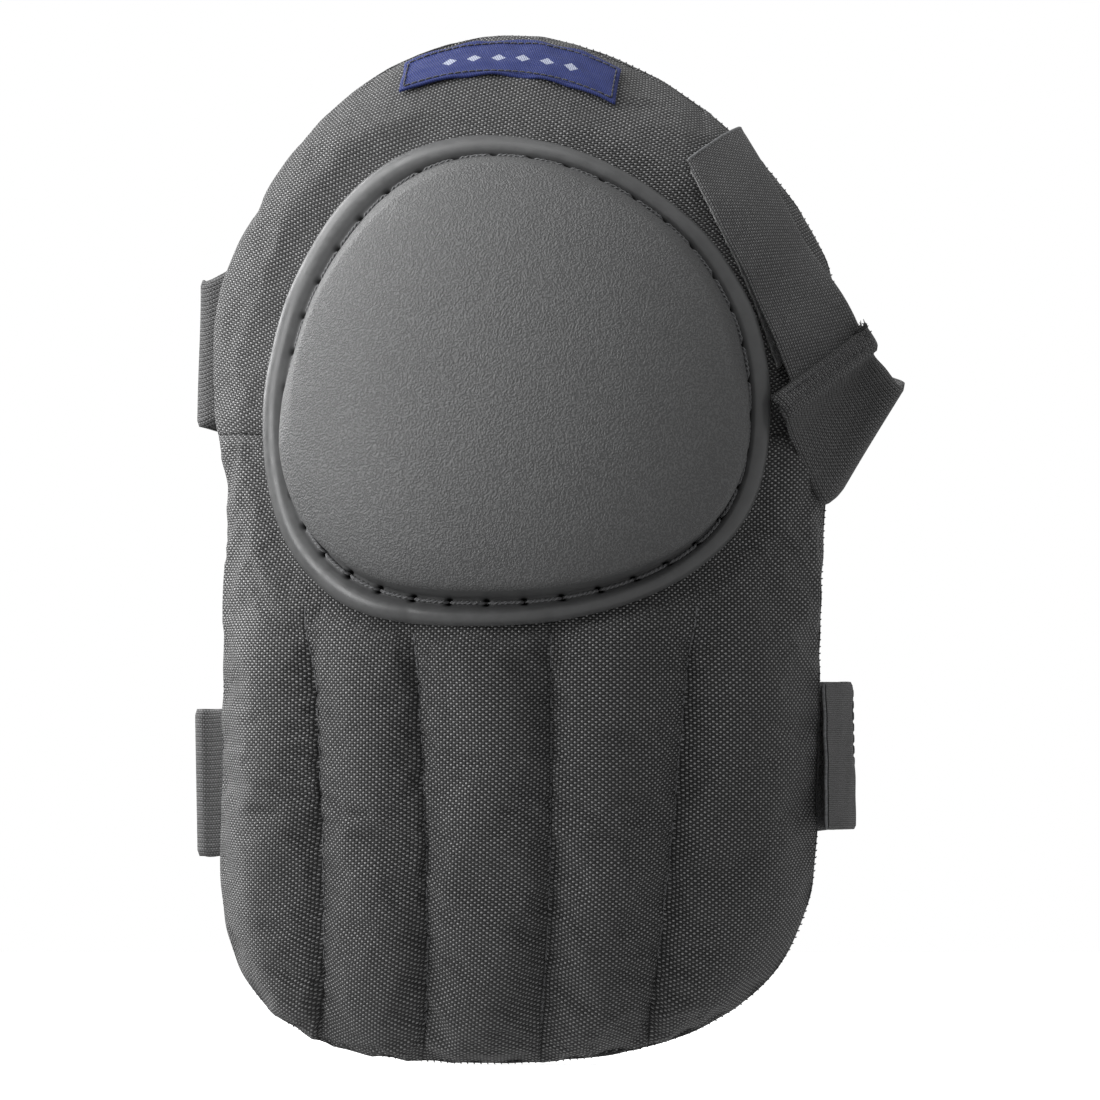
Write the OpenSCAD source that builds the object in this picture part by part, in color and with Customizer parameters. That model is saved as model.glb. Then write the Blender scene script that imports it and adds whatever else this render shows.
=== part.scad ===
// Knee pad: a hard moulded cap sewn to a padded fabric shell, with a quilted
// shin part and two elastic straps that close with hook tape.
// Millimetres. +Z is up the leg, -Y is the front, and the origin is on the
// leg's axis, level with the widest part of the cap.

/* [Shell outline] */
// Half of the shell's width at the knee
knee_half = 80.5; // [70:0.5:85]
// Half of the shell's width over the shin
shin_half = 77; // [66:0.5:80]
// Height of the shell's top edge
shell_top = 89; // [80:1:95]
// Height of the shell's bottom edge
shell_bottom = -174; // [-185:1:-160]
// How far both ends lean to one side, as the sewn shell lies
end_lean = 8; // [0:0.5:9]

/* [Shell curve] */
// Radius across the shell, which wraps the leg
wrap_r = 97; // [94:1:120]
// Radius along the shell above its straightest line
upper_r = 200; // [180:5:260]
// Radius along the shell below its straightest line
lower_r = 170; // [150:5:240]
// Height of the straightest line
straight_z = -68; // [-80:1:-60]
// From the leg's axis to the front of the shell
front_reach = 72; // [66:1:80]

/* [Padding] */
// Thickness of the knee padding, fabric to fabric
knee_thick = 13; // [10:0.5:15]
// Thickness of the shell where it is sewn through
seam_thick = 3.2; // [2.8:0.1:4]
// How far a shin channel stands out from its seams
rib_rise = 6; // [3:0.5:7]
// Thickness of the cover and lining fabric with its backing
fabric = 1; // [0.8:0.1:1.2]
// Clear gap between layers
gap = 0.3; // [0.25:0.05:0.4]

/* [Cap] */
// Half of the cap's width
cap_half = 64.5; // [58:0.5:66]
// Cap edge above its widest line
cap_up = 71; // [64:0.5:72]
// Cap edge below its widest line
cap_down = 54.5; // [48:0.5:55]
// Height of the cap's widest line
cap_mid = -8; // [-12:1:-4]
// How far the middle of the dome stands off the shell
dome_rise = 17; // [12:0.5:22]
// Wall of the moulded cap
cap_wall = 2.4; // [1.8:0.1:3]
// Length of one stitch in the cap's groove
cap_stitch = 9.5; // [7:0.5:12]

/* [Straps] */
// Width of the elastic
strap_w = 38; // [32:1:40]
// Thickness of the elastic
strap_t = 1.6; // [1.2:0.1:2]
// Thickness of the hook tape
tape_t = 1.4; // [1:0.1:1.6]
// From the leg's axis to the back of the strap loops
strap_back = 55; // [48:1:64]
// Height of the lower strap's middle at its sewn end
lower_strap_z = -103; // [-110:1:-96]

/* [Label] */
// Length of the woven label
label_l = 57; // [40:1:60]
// Height of the woven label along the cloth
label_h = 19; // [16:0.5:20]

/* [Hidden] */

panel_z = -13;          // seam between the upper and lower cover
foam_split_z = -62;     // knee padding above, shin channels below
seam_top = [-53, -24, 11, 47];     // shin seams at foam_split_z
seam_bottom = [-50, -22, 7, 37];   // shin seams at the bottom edge
channel_steps = 4;      // mesh columns in each shin channel
edge_roll = 13;         // how far in from the edge the padding reaches its full thickness

// ---- small helpers ----
function clamp(v, lo, hi) = min(max(v, lo), hi);
function ramp(v, lo, hi) = clamp((v - lo) / (hi - lo), 0, 1);
function smooth(v, lo, hi) = let(t = ramp(v, lo, hi)) t * t * (3 - 2 * t);
function lerp(a, b, t) = a + (b - a) * t;
function bezier(a, b, c, d, t) =
    pow(1 - t, 3) * a + 3 * pow(1 - t, 2) * t * b + 3 * (1 - t) * t * t * c + pow(t, 3) * d;
function unit(v) = v / norm(v);
function flatten(grid) = [for (row = grid) for (p = row) p];

// ---- outline of the shell: each entry is [height, half width] ----
function lean(z) = 0.8 - end_lean * pow(abs(z + 43) / 128, 3);
function top_row(t) = [bezier(shell_top, shell_top, 54, 8, t),
    bezier(0, 40, knee_half, knee_half, t)];
function side_half(z) = lerp(knee_half, shin_half, smooth(8 - z, 0, 45));
function bottom_row(t) = [bezier(-118, -159, shell_bottom, shell_bottom, t),
    bezier(shin_half, shin_half, 50, 0, t)];

top_rows = [for (t = [0.05, 0.12, 0.24, 0.36, 0.48, 0.6, 0.72, 0.84, 0.94]) top_row(t)];
knee_rows = [for (z = [8, -3, panel_z + gap / 2]) [z, side_half(z)]];
side_rows = [for (z = [panel_z - gap / 2, -25, -37, -49, foam_split_z]) [z, side_half(z)]];
shin_rows = concat(
    [for (z = [foam_split_z - gap, -67, -72, -77, -83, -94, -106]) [z, side_half(z)]],
    [for (t = [0, 0.12, 0.24, 0.36, 0.48, 0.6, 0.72, 0.82, 0.9, 0.955]) bottom_row(t)]);

// ---- curved surface of the shell ----
function across(x) = wrap_r - sqrt(wrap_r * wrap_r - x * x);
function along(z) = let(d = z - straight_z, r = d > 0 ? upper_r : lower_r)
    r - sqrt(r * r - d * d);
// heights of the top and bottom edge at x from the middle
function edge_height(x, lo, hi, upper, n) = let(m = (lo + hi) / 2, row = upper ? top_row(m) : bottom_row(m))
    n == 0 ? row[0] : (row[1] < abs(x)) == upper
        ? edge_height(x, m, hi, upper, n - 1) : edge_height(x, lo, m, upper, n - 1);
function corner_distance(dx, dz) = dx <= 0 || dz <= 0 ? 0 : dx * dz / sqrt(dx * dx + dz * dz);
// 0 on the sewn edge and 1 in the padded field
function field(row, x) = let(
        dx = row[1] - abs(x),
        up = edge_height(x, 0, 1, true, 12) - row[0],
        down = row[0] - edge_height(x, 0, 1, false, 12),
        k = ramp(min(corner_distance(dx, up), corner_distance(dx, down)), 0, edge_roll))
    sqrt(1 - (1 - k) * (1 - k));
function seam_x(k, z) = lerp(seam_top[k], seam_bottom[k], ramp(foam_split_z - z, 0, 113));
function inner_seam(row, k) = let(room = row[1] * 0.94 - 4)
    clamp(seam_x(k, row[0]), -room + k, room - 3 + k);
function breaks(row) = concat([-row[1]], [for (k = [0:3]) inner_seam(row, k)], [row[1]]);
function channel_of(row, x) = let(b = breaks(row))
    x < b[1] ? 0 : x < b[2] ? 1 : x < b[3] ? 2 : x < b[4] ? 3 : 4;
// 0 on a shin seam and 1 in the middle of a channel
function crown(row, x) = let(b = breaks(row), c = channel_of(row, x),
        s = (x - b[c]) / (b[c + 1] - b[c]))
    4 * s * (1 - s);
function quilt(z) = smooth(foam_split_z - 2 - z, 0, 19);
// front face ahead of the plain curve (negative) or behind it (positive)
function relief(row, x) = quilt(row[0]) * (rib_rise * 0.4 - rib_rise * crown(row, x)) * field(row, x);
// how far the padded front turns back towards its sewn edge
function roll_off(row, x) = (6 + 8 * ramp(row[0], 20, 80)) * (1 - field(row, x));
function inward(row, x) = let(d = row[0] - straight_z, r = d > 0 ? upper_r : lower_r)
    unit([-x / sqrt(wrap_r * wrap_r - x * x), 1, -d / sqrt(r * r - d * d)]);
// point at depth mm under the front face, at x from the middle of a row
function at(row, x, depth) = let(x_in = clamp(x, -wrap_r + 2, wrap_r - 2))
    [x_in + lean(row[0]), -front_reach + across(x_in) + along(row[0]) + roll_off(row, x_in), row[0]]
    + (depth + relief(row, x_in)) * inward(row, x_in);
function thickness(row, x) = let(q = quilt(row[0]), f = field(row, x))
    seam_thick + f * lerp(knee_thick - seam_thick, 10 * crown(row, x), q);
// same point found from a height, for what lies on the shell
function half_at(z) = z > 8 ? top_half(z, 0, 1, 14) : z > -118 ? side_half(z) : shin_half;
function top_half(z, lo, hi, n) = let(m = (lo + hi) / 2)
    n == 0 ? top_row(m)[1] : top_row(m)[0] > z ? top_half(z, m, hi, n - 1) : top_half(z, lo, m, n - 1);
function on(x, z, height) = at([z, half_at(z)], x - lean(z), -height);

// ---- closed solids from grids of points ----
// front and back are equal grids; the front is seen from -Y with rows going down and columns to +X
module slab(front, back) {
    n = len(front);
    m = len(front[0]);
    k = n * m;
    function f(i, j) = i * m + j;
    function b(i, j) = k + i * m + j;
    polyhedron(
        points = concat(flatten(front), flatten(back)),
        faces = concat(
            [for (i = [0:n - 2]) for (j = [0:m - 2]) each
                [[f(i, j), f(i, j + 1), f(i + 1, j + 1)], [f(i, j), f(i + 1, j + 1), f(i + 1, j)]]],
            [for (i = [0:n - 2]) for (j = [0:m - 2]) each
                [[b(i, j), b(i + 1, j + 1), b(i, j + 1)], [b(i, j), b(i + 1, j), b(i + 1, j + 1)]]],
            [for (j = [0:m - 2]) each
                [[f(0, j), b(0, j), b(0, j + 1)], [f(0, j), b(0, j + 1), f(0, j + 1)]]],
            [for (j = [0:m - 2]) each
                [[f(n - 1, j), b(n - 1, j + 1), b(n - 1, j)], [f(n - 1, j), f(n - 1, j + 1), b(n - 1, j + 1)]]],
            [for (i = [0:n - 2]) each
                [[f(i, 0), b(i + 1, 0), b(i, 0)], [f(i, 0), f(i + 1, 0), b(i + 1, 0)]]],
            [for (i = [0:n - 2]) each
                [[f(i, m - 1), b(i, m - 1), b(i + 1, m - 1)], [f(i, m - 1), b(i + 1, m - 1), f(i + 1, m - 1)]]]));
}

// rings of points from a front pole, over the rim, to a back pole
module shell_of_rings(rings, front_pole, back_pole) {
    n = len(rings);
    m = len(rings[0]);
    last = n * m;
    function r(i, j) = i * m + (j % m);
    polyhedron(
        points = concat(flatten(rings), [front_pole, back_pole]),
        faces = concat(
            [for (j = [0:m - 1]) [last, r(0, j), r(0, j + 1)]],
            [for (i = [0:n - 2]) for (j = [0:m - 1]) each
                [[r(i, j), r(i + 1, j + 1), r(i, j + 1)], [r(i, j), r(i + 1, j), r(i + 1, j + 1)]]],
            [for (j = [0:m - 1]) [last + 1, r(n - 1, j + 1), r(n - 1, j)]]));
}

// closed tube through sections of equal point count
module loop_of_sections(sections) {
    n = len(sections);
    m = len(sections[0]);
    function p(i, j) = (i % n) * m + (j % m);
    polyhedron(
        points = flatten(sections),
        faces = [for (i = [0:n - 1]) for (j = [0:m - 1]) each
            [[p(i, j), p(i, j + 1), p(i + 1, j + 1)], [p(i, j), p(i + 1, j + 1), p(i + 1, j)]]]);
}

module thread(a, b, r) {
    d = b - a;
    translate(a)
        rotate([0, acos(d[2] / norm(d)), atan2(d[1], d[0])])
            cylinder(h = norm(d), r = r, $fn = 14);
}

// a row of stitches along a list of points, each leaving a short space
module stitch_line(points, r) {
    for (i = [0:len(points) - 2])
        thread(lerp(points[i], points[i + 1], 0.1), lerp(points[i], points[i + 1], 0.9), r);
}

// ---- fabric shell ----
function plain_columns(row, n, inset) = [for (j = [0:n]) lerp(-1, 1, j / n) * (row[1] - inset)];
function quilt_columns(row) = let(b = breaks(row)) concat(
    [for (k = [0:4]) for (j = [0:channel_steps - 1]) lerp(b[k], b[k + 1], j / channel_steps)], [row[1]]);
function sheet_front(rows, columns, depth) =
    [for (i = [0:len(rows) - 1]) [for (x = columns[i]) at(rows[i], x, depth)]];
function sheet_back(rows, columns, from_back) =
    [for (i = [0:len(rows) - 1]) [for (x = columns[i]) at(rows[i], x, thickness(rows[i], x) - from_back)]];

module upper_cover() {
    rows = concat(top_rows, knee_rows);
    columns = [for (row = rows) quilt_columns(row)];
    color([0.40, 0.41, 0.42])
        slab(sheet_front(rows, columns, 0), sheet_front(rows, columns, fabric));
}

module lower_cover() {
    rows = concat(side_rows, shin_rows);
    columns = [for (row = rows) quilt_columns(row)];
    color([0.36, 0.37, 0.38])
        slab(sheet_front(rows, columns, 0), sheet_front(rows, columns, fabric));
}

module back_lining() {
    rows = concat(top_rows, [for (i = [0:1]) knee_rows[i]], [for (i = [0:len(side_rows) - 1]) side_rows[i]], shin_rows);
    columns = [for (row = rows) quilt_columns(row)];
    color([0.16, 0.16, 0.17])
        slab(sheet_back(rows, columns, fabric), sheet_back(rows, columns, 0));
}

// the foam stays where the padding is thick enough to hold it
module knee_foam() {
    rows = concat([for (i = [2:8]) top_rows[i]], knee_rows, side_rows);
    columns = [for (row = rows) plain_columns(row, 16, 7)];
    color([0.20, 0.21, 0.22])
        slab(sheet_front(rows, columns, fabric + gap + 0.2), sheet_back(rows, columns, fabric + gap + 0.2));
}

// one strip of foam in each sewn shin channel
module shin_foam(k, last_row) {
    rows = [for (i = [1:last_row]) shin_rows[i]];
    columns = [for (row = rows) let(b = breaks(row), lo = k == 0 ? b[0] + 7 : b[k] + 3.5,
            hi = k == 4 ? b[5] - 7 : b[k + 1] - 3.5)
        [for (s = [0:4]) lerp(lo, hi, s / 4)]];
    color([0.20, 0.21, 0.22])
        slab(sheet_front(rows, columns, fabric + gap + 0.7), sheet_back(rows, columns, fabric + gap + 0.7));
}
module shin_foam_1() { shin_foam(0, 12); }
module shin_foam_2() { shin_foam(1, 14); }
module shin_foam_3() { shin_foam(2, 14); }
module shin_foam_4() { shin_foam(3, 14); }
module shin_foam_5() { shin_foam(4, 12); }

// bound seam that runs round the shell, just outside the cover and lining
module edge_seam() {
    right = concat(top_rows, knee_rows, [for (i = [1:len(side_rows) - 1]) side_rows[i]], shin_rows);
    n = len(right);
    loop = concat([for (i = [0:n - 1]) [right[i], 1]], [for (i = [n - 1:-1:0]) [right[i], -1]]);
    count = len(loop);
    function flat(i) = let(e = loop[(i + count) % count]) [e[1] * e[0][1], e[0][0]];
    sections = [for (i = [0:count - 1]) let(
            run = unit(flat(i + 1) - flat(i - 1)),
            out = [-run[1], 0, run[0]],
            row = loop[i][0],
            x = loop[i][1] * row[1])
        [at(row, x, 0.5) + (gap + 0.2) * out, at(row, x, 0.5) + 1.7 * out,
         at(row, x, seam_thick - 0.5) + 1.7 * out, at(row, x, seam_thick - 0.5) + (gap + 0.2) * out]];
    color([0.12, 0.12, 0.13]) loop_of_sections(sections);
}

module channel_stitching() {
    color([0.62, 0.63, 0.64])
        for (k = [0:3])
            stitch_line([for (z = [-70:-4.6:(k == 0 || k == 3) ? -150 : -166])
                let(row = z > -118 ? [z, side_half(z)] : [z, bottom_half(z, 0, 1, 14)])
                at(row, inner_seam(row, k), -0.75)], 0.35);
}
function bottom_half(z, lo, hi, n) = let(m = (lo + hi) / 2)
    n == 0 ? bottom_row(m)[1] : bottom_row(m)[0] > z ? bottom_half(z, m, hi, n - 1) : bottom_half(z, lo, m, n - 1);

// ---- moulded cap ----
function cap_drift(z) = z > cap_mid ? -0.5 - 5.5 * pow((z - cap_mid) / 60, 3) : -0.5 - 8 * pow((cap_mid - z) / 54, 4);
function super(c, n) = sign(c) * pow(abs(c), 2 / n);
// point d mm in from the cap's edge, h mm above the shell's front face
function cap_point(a, d, h) = let(
        n = sin(a) < 0 ? 2.5 : 2,
        s = 1 - d / cap_half,
        z = cap_mid + s * (sin(a) < 0 ? cap_down : cap_up) * super(sin(a), n),
        x = s * cap_half * super(cos(a), n) + cap_drift(z))
    on(x, z, h);
cap_sides = 48;
function cap_ring(d, h) = [for (i = [0:cap_sides - 1]) cap_point(90 - i * 360 / cap_sides, d, h)];
// [distance in from the edge, height]: rounded bead, stitch groove, wall, dome
cap_outside = [[48, dome_rise], [36, dome_rise - 0.5], [26, dome_rise - 1.6], [18, dome_rise - 3.4],
    [13, dome_rise - 5.6], [10.4, dome_rise - 8.6], [9.2, dome_rise - 12], [8.6, 2.9], [5.2, 2.7],
    [4.2, 4.1], [2.4, 4.7], [0.9, 4], [0, 2.4], [0.3, 0.6]];
cap_inside = [[1, gap], [10.4 + cap_wall * 0.5, gap], [10.4 + cap_wall, dome_rise - 10.4],
    [13 + cap_wall, dome_rise - 5.6 - cap_wall], [18 + cap_wall, dome_rise - 3.4 - cap_wall],
    [28, dome_rise - 1.4 - cap_wall], [46, dome_rise - cap_wall]];

module knee_cap() {
    color([0.27, 0.28, 0.29])
        shell_of_rings([for (p = concat(cap_outside, cap_inside)) cap_ring(p[0], p[1])],
            cap_point(90, cap_half, dome_rise + 0.2), cap_point(90, cap_half, dome_rise + 0.1 - cap_wall));
}

// foam that fills the dome
module dome_cushion() {
    color([0.20, 0.21, 0.22])
        shell_of_rings([for (p = [[46, dome_rise - cap_wall - 0.6], [28, dome_rise - 2 - cap_wall],
                [18 + cap_wall + 1, dome_rise - 4.4 - cap_wall], [13 + cap_wall + 1.5, dome_rise - 7 - cap_wall],
                [13 + cap_wall + 1.5, 1], [13 + cap_wall + 3, 0.6], [32, 0.6], [48, 0.6]]) cap_ring(p[0], p[1])],
            cap_point(90, cap_half, dome_rise - cap_wall - 0.4), cap_point(90, cap_half, 0.6));
}

module cap_stitching() {
    count = round(2 * 3.1416 * (cap_half - 6.9) / cap_stitch);
    color([0.55, 0.56, 0.57])
        stitch_line([for (i = [0:count]) cap_point(90 - i * 360 / count, 6.9, 3.55)], 0.5);
}

// ---- label ----
// u runs along the label from -1 to 1, v down it from 0 to 1
function label_point(u, v, h) = let(
        x = u * label_l / 2 * 0.985,
        upper = edge_height(x, 0, 1, true, 12) - 1.9 - 0.8 * u,
        lower = shell_top - 1.6 - 0.5 * label_h - 6 * u * u - 1.8 * u)
    on(x + lean(80), lerp(upper, lower, v), h);
module label() {
    rows = [0, 0.1, 0.22, 0.4, 0.6, 0.8, 1];
    color([0.10, 0.22, 0.52])
        slab([for (v = rows) [for (u = [-1:0.2:1.01]) label_point(u, v, 1.3)]],
            [for (v = rows) [for (u = [-1:0.2:1.01]) label_point(u, v, gap + 0.2)]]);
}
module label_stitching() {
    across_n = 16;
    color([0.03, 0.04, 0.08]) {
        for (v = [0.08, 0.92])
            stitch_line([for (i = [0:across_n]) label_point(lerp(-0.97, 0.97, i / across_n), v, 1.8)], 0.3);
        for (u = [-0.97, 0.97])
            stitch_line([for (i = [0:4]) label_point(u, lerp(0.15, 0.85, i / 4), 1.8)], 0.3);
    }
}

// ---- straps as ribbons ----
// a row is the ribbon's two edges, [lower edge, upper edge]
function between(p0, p1, p2, p3, t) = 0.5 * ((2 * p1) + (p2 - p0) * t
    + (2 * p0 - 5 * p1 + 4 * p2 - p3) * t * t + (3 * p1 - p0 - 3 * p2 + p3) * t * t * t);
function eased(rows, n) = let(last = len(rows) - 1) concat(
    [for (i = [0:last - 1]) for (j = [0:n - 1])
        between(rows[max(i - 1, 0)], rows[i], rows[i + 1], rows[min(i + 2, last)], j / n)], [rows[last]]);
function middle(row) = (row[0] + row[1]) / 2;
function travel(rows, i) = unit(middle(rows[min(i + 1, len(rows) - 1)]) - middle(rows[max(i - 1, 0)]));
function face_of(rows, i) = unit(cross(travel(rows, i), rows[i][1] - rows[i][0]));
function ribbon_side(rows, off) = [for (i = [0:len(rows) - 1])
    [for (w = [0:0.25:1]) lerp(rows[i][0], rows[i][1], w) + off * face_of(rows, i)]];
module ribbon(rows, t) {
    slab(ribbon_side(rows, t / 2), ribbon_side(rows, -t / 2));
}
// point behind the lining, off mm clear of it
function behind(x, z, off) = let(row = [z, half_at(z)], xr = x - lean(z)) at(row, xr, thickness(row, xr) + off);
// an upright ribbon row at a place in plan, measured back from the shell's front
function upright(x, y, z, w) = [[x, y - front_reach, z - w / 2], [x, y - front_reach, z + w / 2]];
function row_at(x0, y0, z0, x1, y1, z1) = [[x0, y0 - front_reach, z0], [x1, y1 - front_reach, z1]];
loop_y = strap_back + front_reach;

// ---- upper strap ----
// the hook tab's two long edges over the shell, from its free end to its seam
function tab_left(s) = [lerp(39.8, 68, s) + 3.4 * sin(180 * s), lerp(54.5, -6.4, s)];
function tab_right(s) = [lerp(51.5, 78.4, s) + 2 * sin(180 * s), lerp(64.5, 10.5, s)];
tab_columns = [for (i = [0:8]) i / 8];
function tab_raw(s, w, h) = let(l = tab_left(s), r = tab_right(s)) on(lerp(l[0], r[0], w), lerp(l[1], r[1], w), h);
// the tab follows the shell at its free end and is straight across at its seam
function tab_point(s, w, h) = let(k = smooth(s, 0.5, 1), low_lift = 2.6 * k, high_lift = 6.5 * k)
    lerp(tab_raw(s, w, h + lerp(low_lift, high_lift, w)),
        lerp(tab_raw(s, 0, h + low_lift), tab_raw(s, 1, h + high_lift), w), k);
patch_t = 1.3;
tab_low = 2 * gap + patch_t + 0.4;
tab_high = tab_low + tape_t;
tab_steps = 10;

module loop_patch() {
    color([0.13, 0.13, 0.14])
        slab([for (s = [0.04:0.1:0.85]) [for (w = [0.06:0.12:0.79]) tab_raw(s, w, gap + patch_t)]],
            [for (s = [0.04:0.1:0.85]) [for (w = [0.06:0.12:0.79]) tab_raw(s, w, gap)]]);
}
module upper_hook_tab() {
    color([0.24, 0.25, 0.26])
        slab([for (i = [0:tab_steps]) [for (w = tab_columns) tab_point(i / tab_steps, w, tab_high)]],
            [for (i = [0:tab_steps]) [for (w = tab_columns) tab_point(i / tab_steps, w, tab_low)]]);
}
module upper_tab_stitching() {
    color([0.05, 0.05, 0.05])
        for (s = [0.92, 0.96])
            stitch_line([for (i = [0:8]) tab_point(s, lerp(0.06, 0.94, i / 8), tab_high + 0.5)], 0.3);
}

// from the hook tab's seam, over the fold, round behind the knee to the sewn end
strap_seam = (tab_low + tab_high) / 2;
upper_route = concat(
    [[tab_point(1.012, -0.03, strap_seam), tab_point(1.012, 1.15, strap_seam)]],
    [row_at(74, 36, -16.5, 91, 63, 8.4), row_at(77.5, 39, -26.5, 93.8, 60, 4.2),
     row_at(80.8, 44.5, -34, 96, 59, -0.5), row_at(81.4, 54, -36, 96, 68, 0.5),
     row_at(79, 69, -35.6, 92, 81, 1.6), row_at(77, 86, -35, 86, 94, 2.6)],
    [upright(76, loop_y - 22, -16, strap_w), upright(58, loop_y - 7, -14, strap_w),
     upright(30, loop_y - 1, -11, strap_w), upright(0, loop_y, -7, strap_w),
     upright(-30, loop_y - 1, -3, strap_w), upright(-60, loop_y - 7, 1, strap_w),
     upright(-79, loop_y - 21, 5, strap_w), upright(-86, 88, 7, strap_w), upright(-85.8, 75.5, 8.4, strap_w)],
    [for (x = [-80.5, -74, -67, -60]) [behind(x, -8, gap + 1.4), behind(x, 32, gap + 1.4)]]);
module upper_strap() {
    color([0.20, 0.21, 0.22]) ribbon(eased(upper_route, 3), strap_t);
}

// a stitched box on a sewn strap end, seen from behind
module stitched_box(x0, x1, z0, z1, off) {
    corners = [[x0, z0], [x1, z0], [x1, z1], [x0, z1], [x0, z0]];
    for (c = [0:3])
        let(a = corners[c], b = corners[c + 1], n = c % 2 == 0 ? 3 : 7)
            stitch_line([for (i = [0:n]) behind(lerp(a[0], b[0], i / n), lerp(a[1], b[1], i / n), off)], 0.35);
}
module upper_anchor_stitching() {
    color([0.6, 0.61, 0.62]) stitched_box(-74, -64, -3, 27, gap + strap_t + 1.8);
}

// ---- lower strap ----
lower_right_z = lower_strap_z + 7;
lower_route = concat(
    [for (x = [-60, -66, -71, -75])
        [behind(x, lower_strap_z - 19, gap + 5.2), behind(x, lower_strap_z + 19, gap + 2.7)]],
    [upright(-82, 58, lower_strap_z, strap_w), upright(-84.5, 70, lower_strap_z, strap_w),
     upright(-82, 88, lower_strap_z, strap_w), upright(-69, 106, lower_strap_z + 1, strap_w),
     upright(-40, 117, lower_strap_z + 2, strap_w), upright(0, 121, lower_strap_z + 3.5, strap_w),
     upright(40, 117, lower_strap_z + 5, strap_w), upright(69, 106, lower_strap_z + 6, strap_w),
     upright(78, 92, lower_right_z, strap_w), upright(82.2, 82, lower_right_z, strap_w)]);
module lower_strap() {
    color([0.20, 0.21, 0.22]) ribbon(eased(lower_route, 3), strap_t);
}
module lower_anchor_stitching() {
    color([0.6, 0.61, 0.62])
        stitched_box(-73, -63, lower_strap_z - 15, lower_strap_z + 15, gap + strap_t + 5.3);
}

// the hook tab goes on from the elastic's end and lies on the outside of the loop wing
module lower_hook_tab() {
    route = [for (p = [[82.4, 81.5], [83.9, 75], [84.4, 68], [84, 60], [82.6, 53]])
        upright(p[0], p[1], lower_right_z, strap_w)];
    color([0.24, 0.25, 0.26]) ribbon(eased(route, 3), tape_t);
}
module lower_tab_stitching() {
    color([0.05, 0.05, 0.05])
        for (p = [[84, 79.5], [84.6, 77]])
            stitch_line([for (i = [0:7])
                [p[0], p[1] - front_reach, lower_right_z + lerp(-16.5, 16.5, i / 7)]], 0.3);
}
module lower_loop_wing() {
    z0 = lower_right_z - strap_w / 2;
    z1 = lower_right_z + strap_w / 2;
    route = concat(
        [for (x = [60, 66, 71, 75]) [behind(x, z0, gap + 3.4), behind(x, z1, gap + 2.1)]],
        [for (p = [[78.6, 55.5], [80.9, 62], [81.5, 69], [80.9, 77], [77, 87.5], [71, 96]])
            upright(p[0], p[1], lower_right_z, strap_w)]);
    color([0.13, 0.13, 0.14]) ribbon(eased(route, 2), patch_t);
}
module wing_stitching() {
    color([0.6, 0.61, 0.62])
        stitched_box(62, 72, lower_right_z - 15, lower_right_z + 15, gap + strap_t + 3.9);
}

knee_cap();
cap_stitching();
dome_cushion();
upper_cover();
lower_cover();
knee_foam();
shin_foam_1();
shin_foam_2();
shin_foam_3();
shin_foam_4();
shin_foam_5();
back_lining();
edge_seam();
channel_stitching();
label();
label_stitching();
loop_patch();
upper_hook_tab();
upper_tab_stitching();
upper_strap();
upper_anchor_stitching();
lower_strap();
lower_anchor_stitching();
lower_loop_wing();
wing_stitching();
lower_hook_tab();
lower_tab_stitching();
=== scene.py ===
import math

import bmesh
import bpy
import numpy as np
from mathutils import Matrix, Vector

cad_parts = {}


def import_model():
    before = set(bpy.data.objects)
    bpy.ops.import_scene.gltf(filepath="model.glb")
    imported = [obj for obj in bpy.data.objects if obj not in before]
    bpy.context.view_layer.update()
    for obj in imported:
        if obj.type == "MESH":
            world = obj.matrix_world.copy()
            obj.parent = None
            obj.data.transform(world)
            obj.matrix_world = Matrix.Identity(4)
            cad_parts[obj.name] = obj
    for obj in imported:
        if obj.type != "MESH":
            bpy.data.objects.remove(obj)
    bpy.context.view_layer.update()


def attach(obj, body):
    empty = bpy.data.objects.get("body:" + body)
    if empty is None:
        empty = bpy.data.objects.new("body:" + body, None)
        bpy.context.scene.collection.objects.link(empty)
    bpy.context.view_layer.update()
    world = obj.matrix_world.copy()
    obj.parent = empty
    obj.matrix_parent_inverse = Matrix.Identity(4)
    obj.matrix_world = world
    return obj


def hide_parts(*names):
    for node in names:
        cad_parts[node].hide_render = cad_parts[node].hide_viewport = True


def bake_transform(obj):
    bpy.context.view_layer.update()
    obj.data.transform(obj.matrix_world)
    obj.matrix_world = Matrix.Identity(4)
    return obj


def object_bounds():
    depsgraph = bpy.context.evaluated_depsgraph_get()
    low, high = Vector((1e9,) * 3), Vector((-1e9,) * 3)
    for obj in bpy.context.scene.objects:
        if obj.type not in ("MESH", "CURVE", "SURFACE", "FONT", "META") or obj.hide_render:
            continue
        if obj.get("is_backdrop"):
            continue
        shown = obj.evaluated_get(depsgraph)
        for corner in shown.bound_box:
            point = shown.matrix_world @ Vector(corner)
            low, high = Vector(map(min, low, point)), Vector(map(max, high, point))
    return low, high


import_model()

# Lengths below are in millimetres, as in the CAD, and MM turns them into metres.
MM = 0.001

# ---- the shell's form, which repeats the CAD's driving dimensions ----
KNEE_HALF, SHIN_HALF = 80.5, 77.0
SHELL_TOP, SHELL_BOTTOM = 90.0, -175.0
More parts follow.
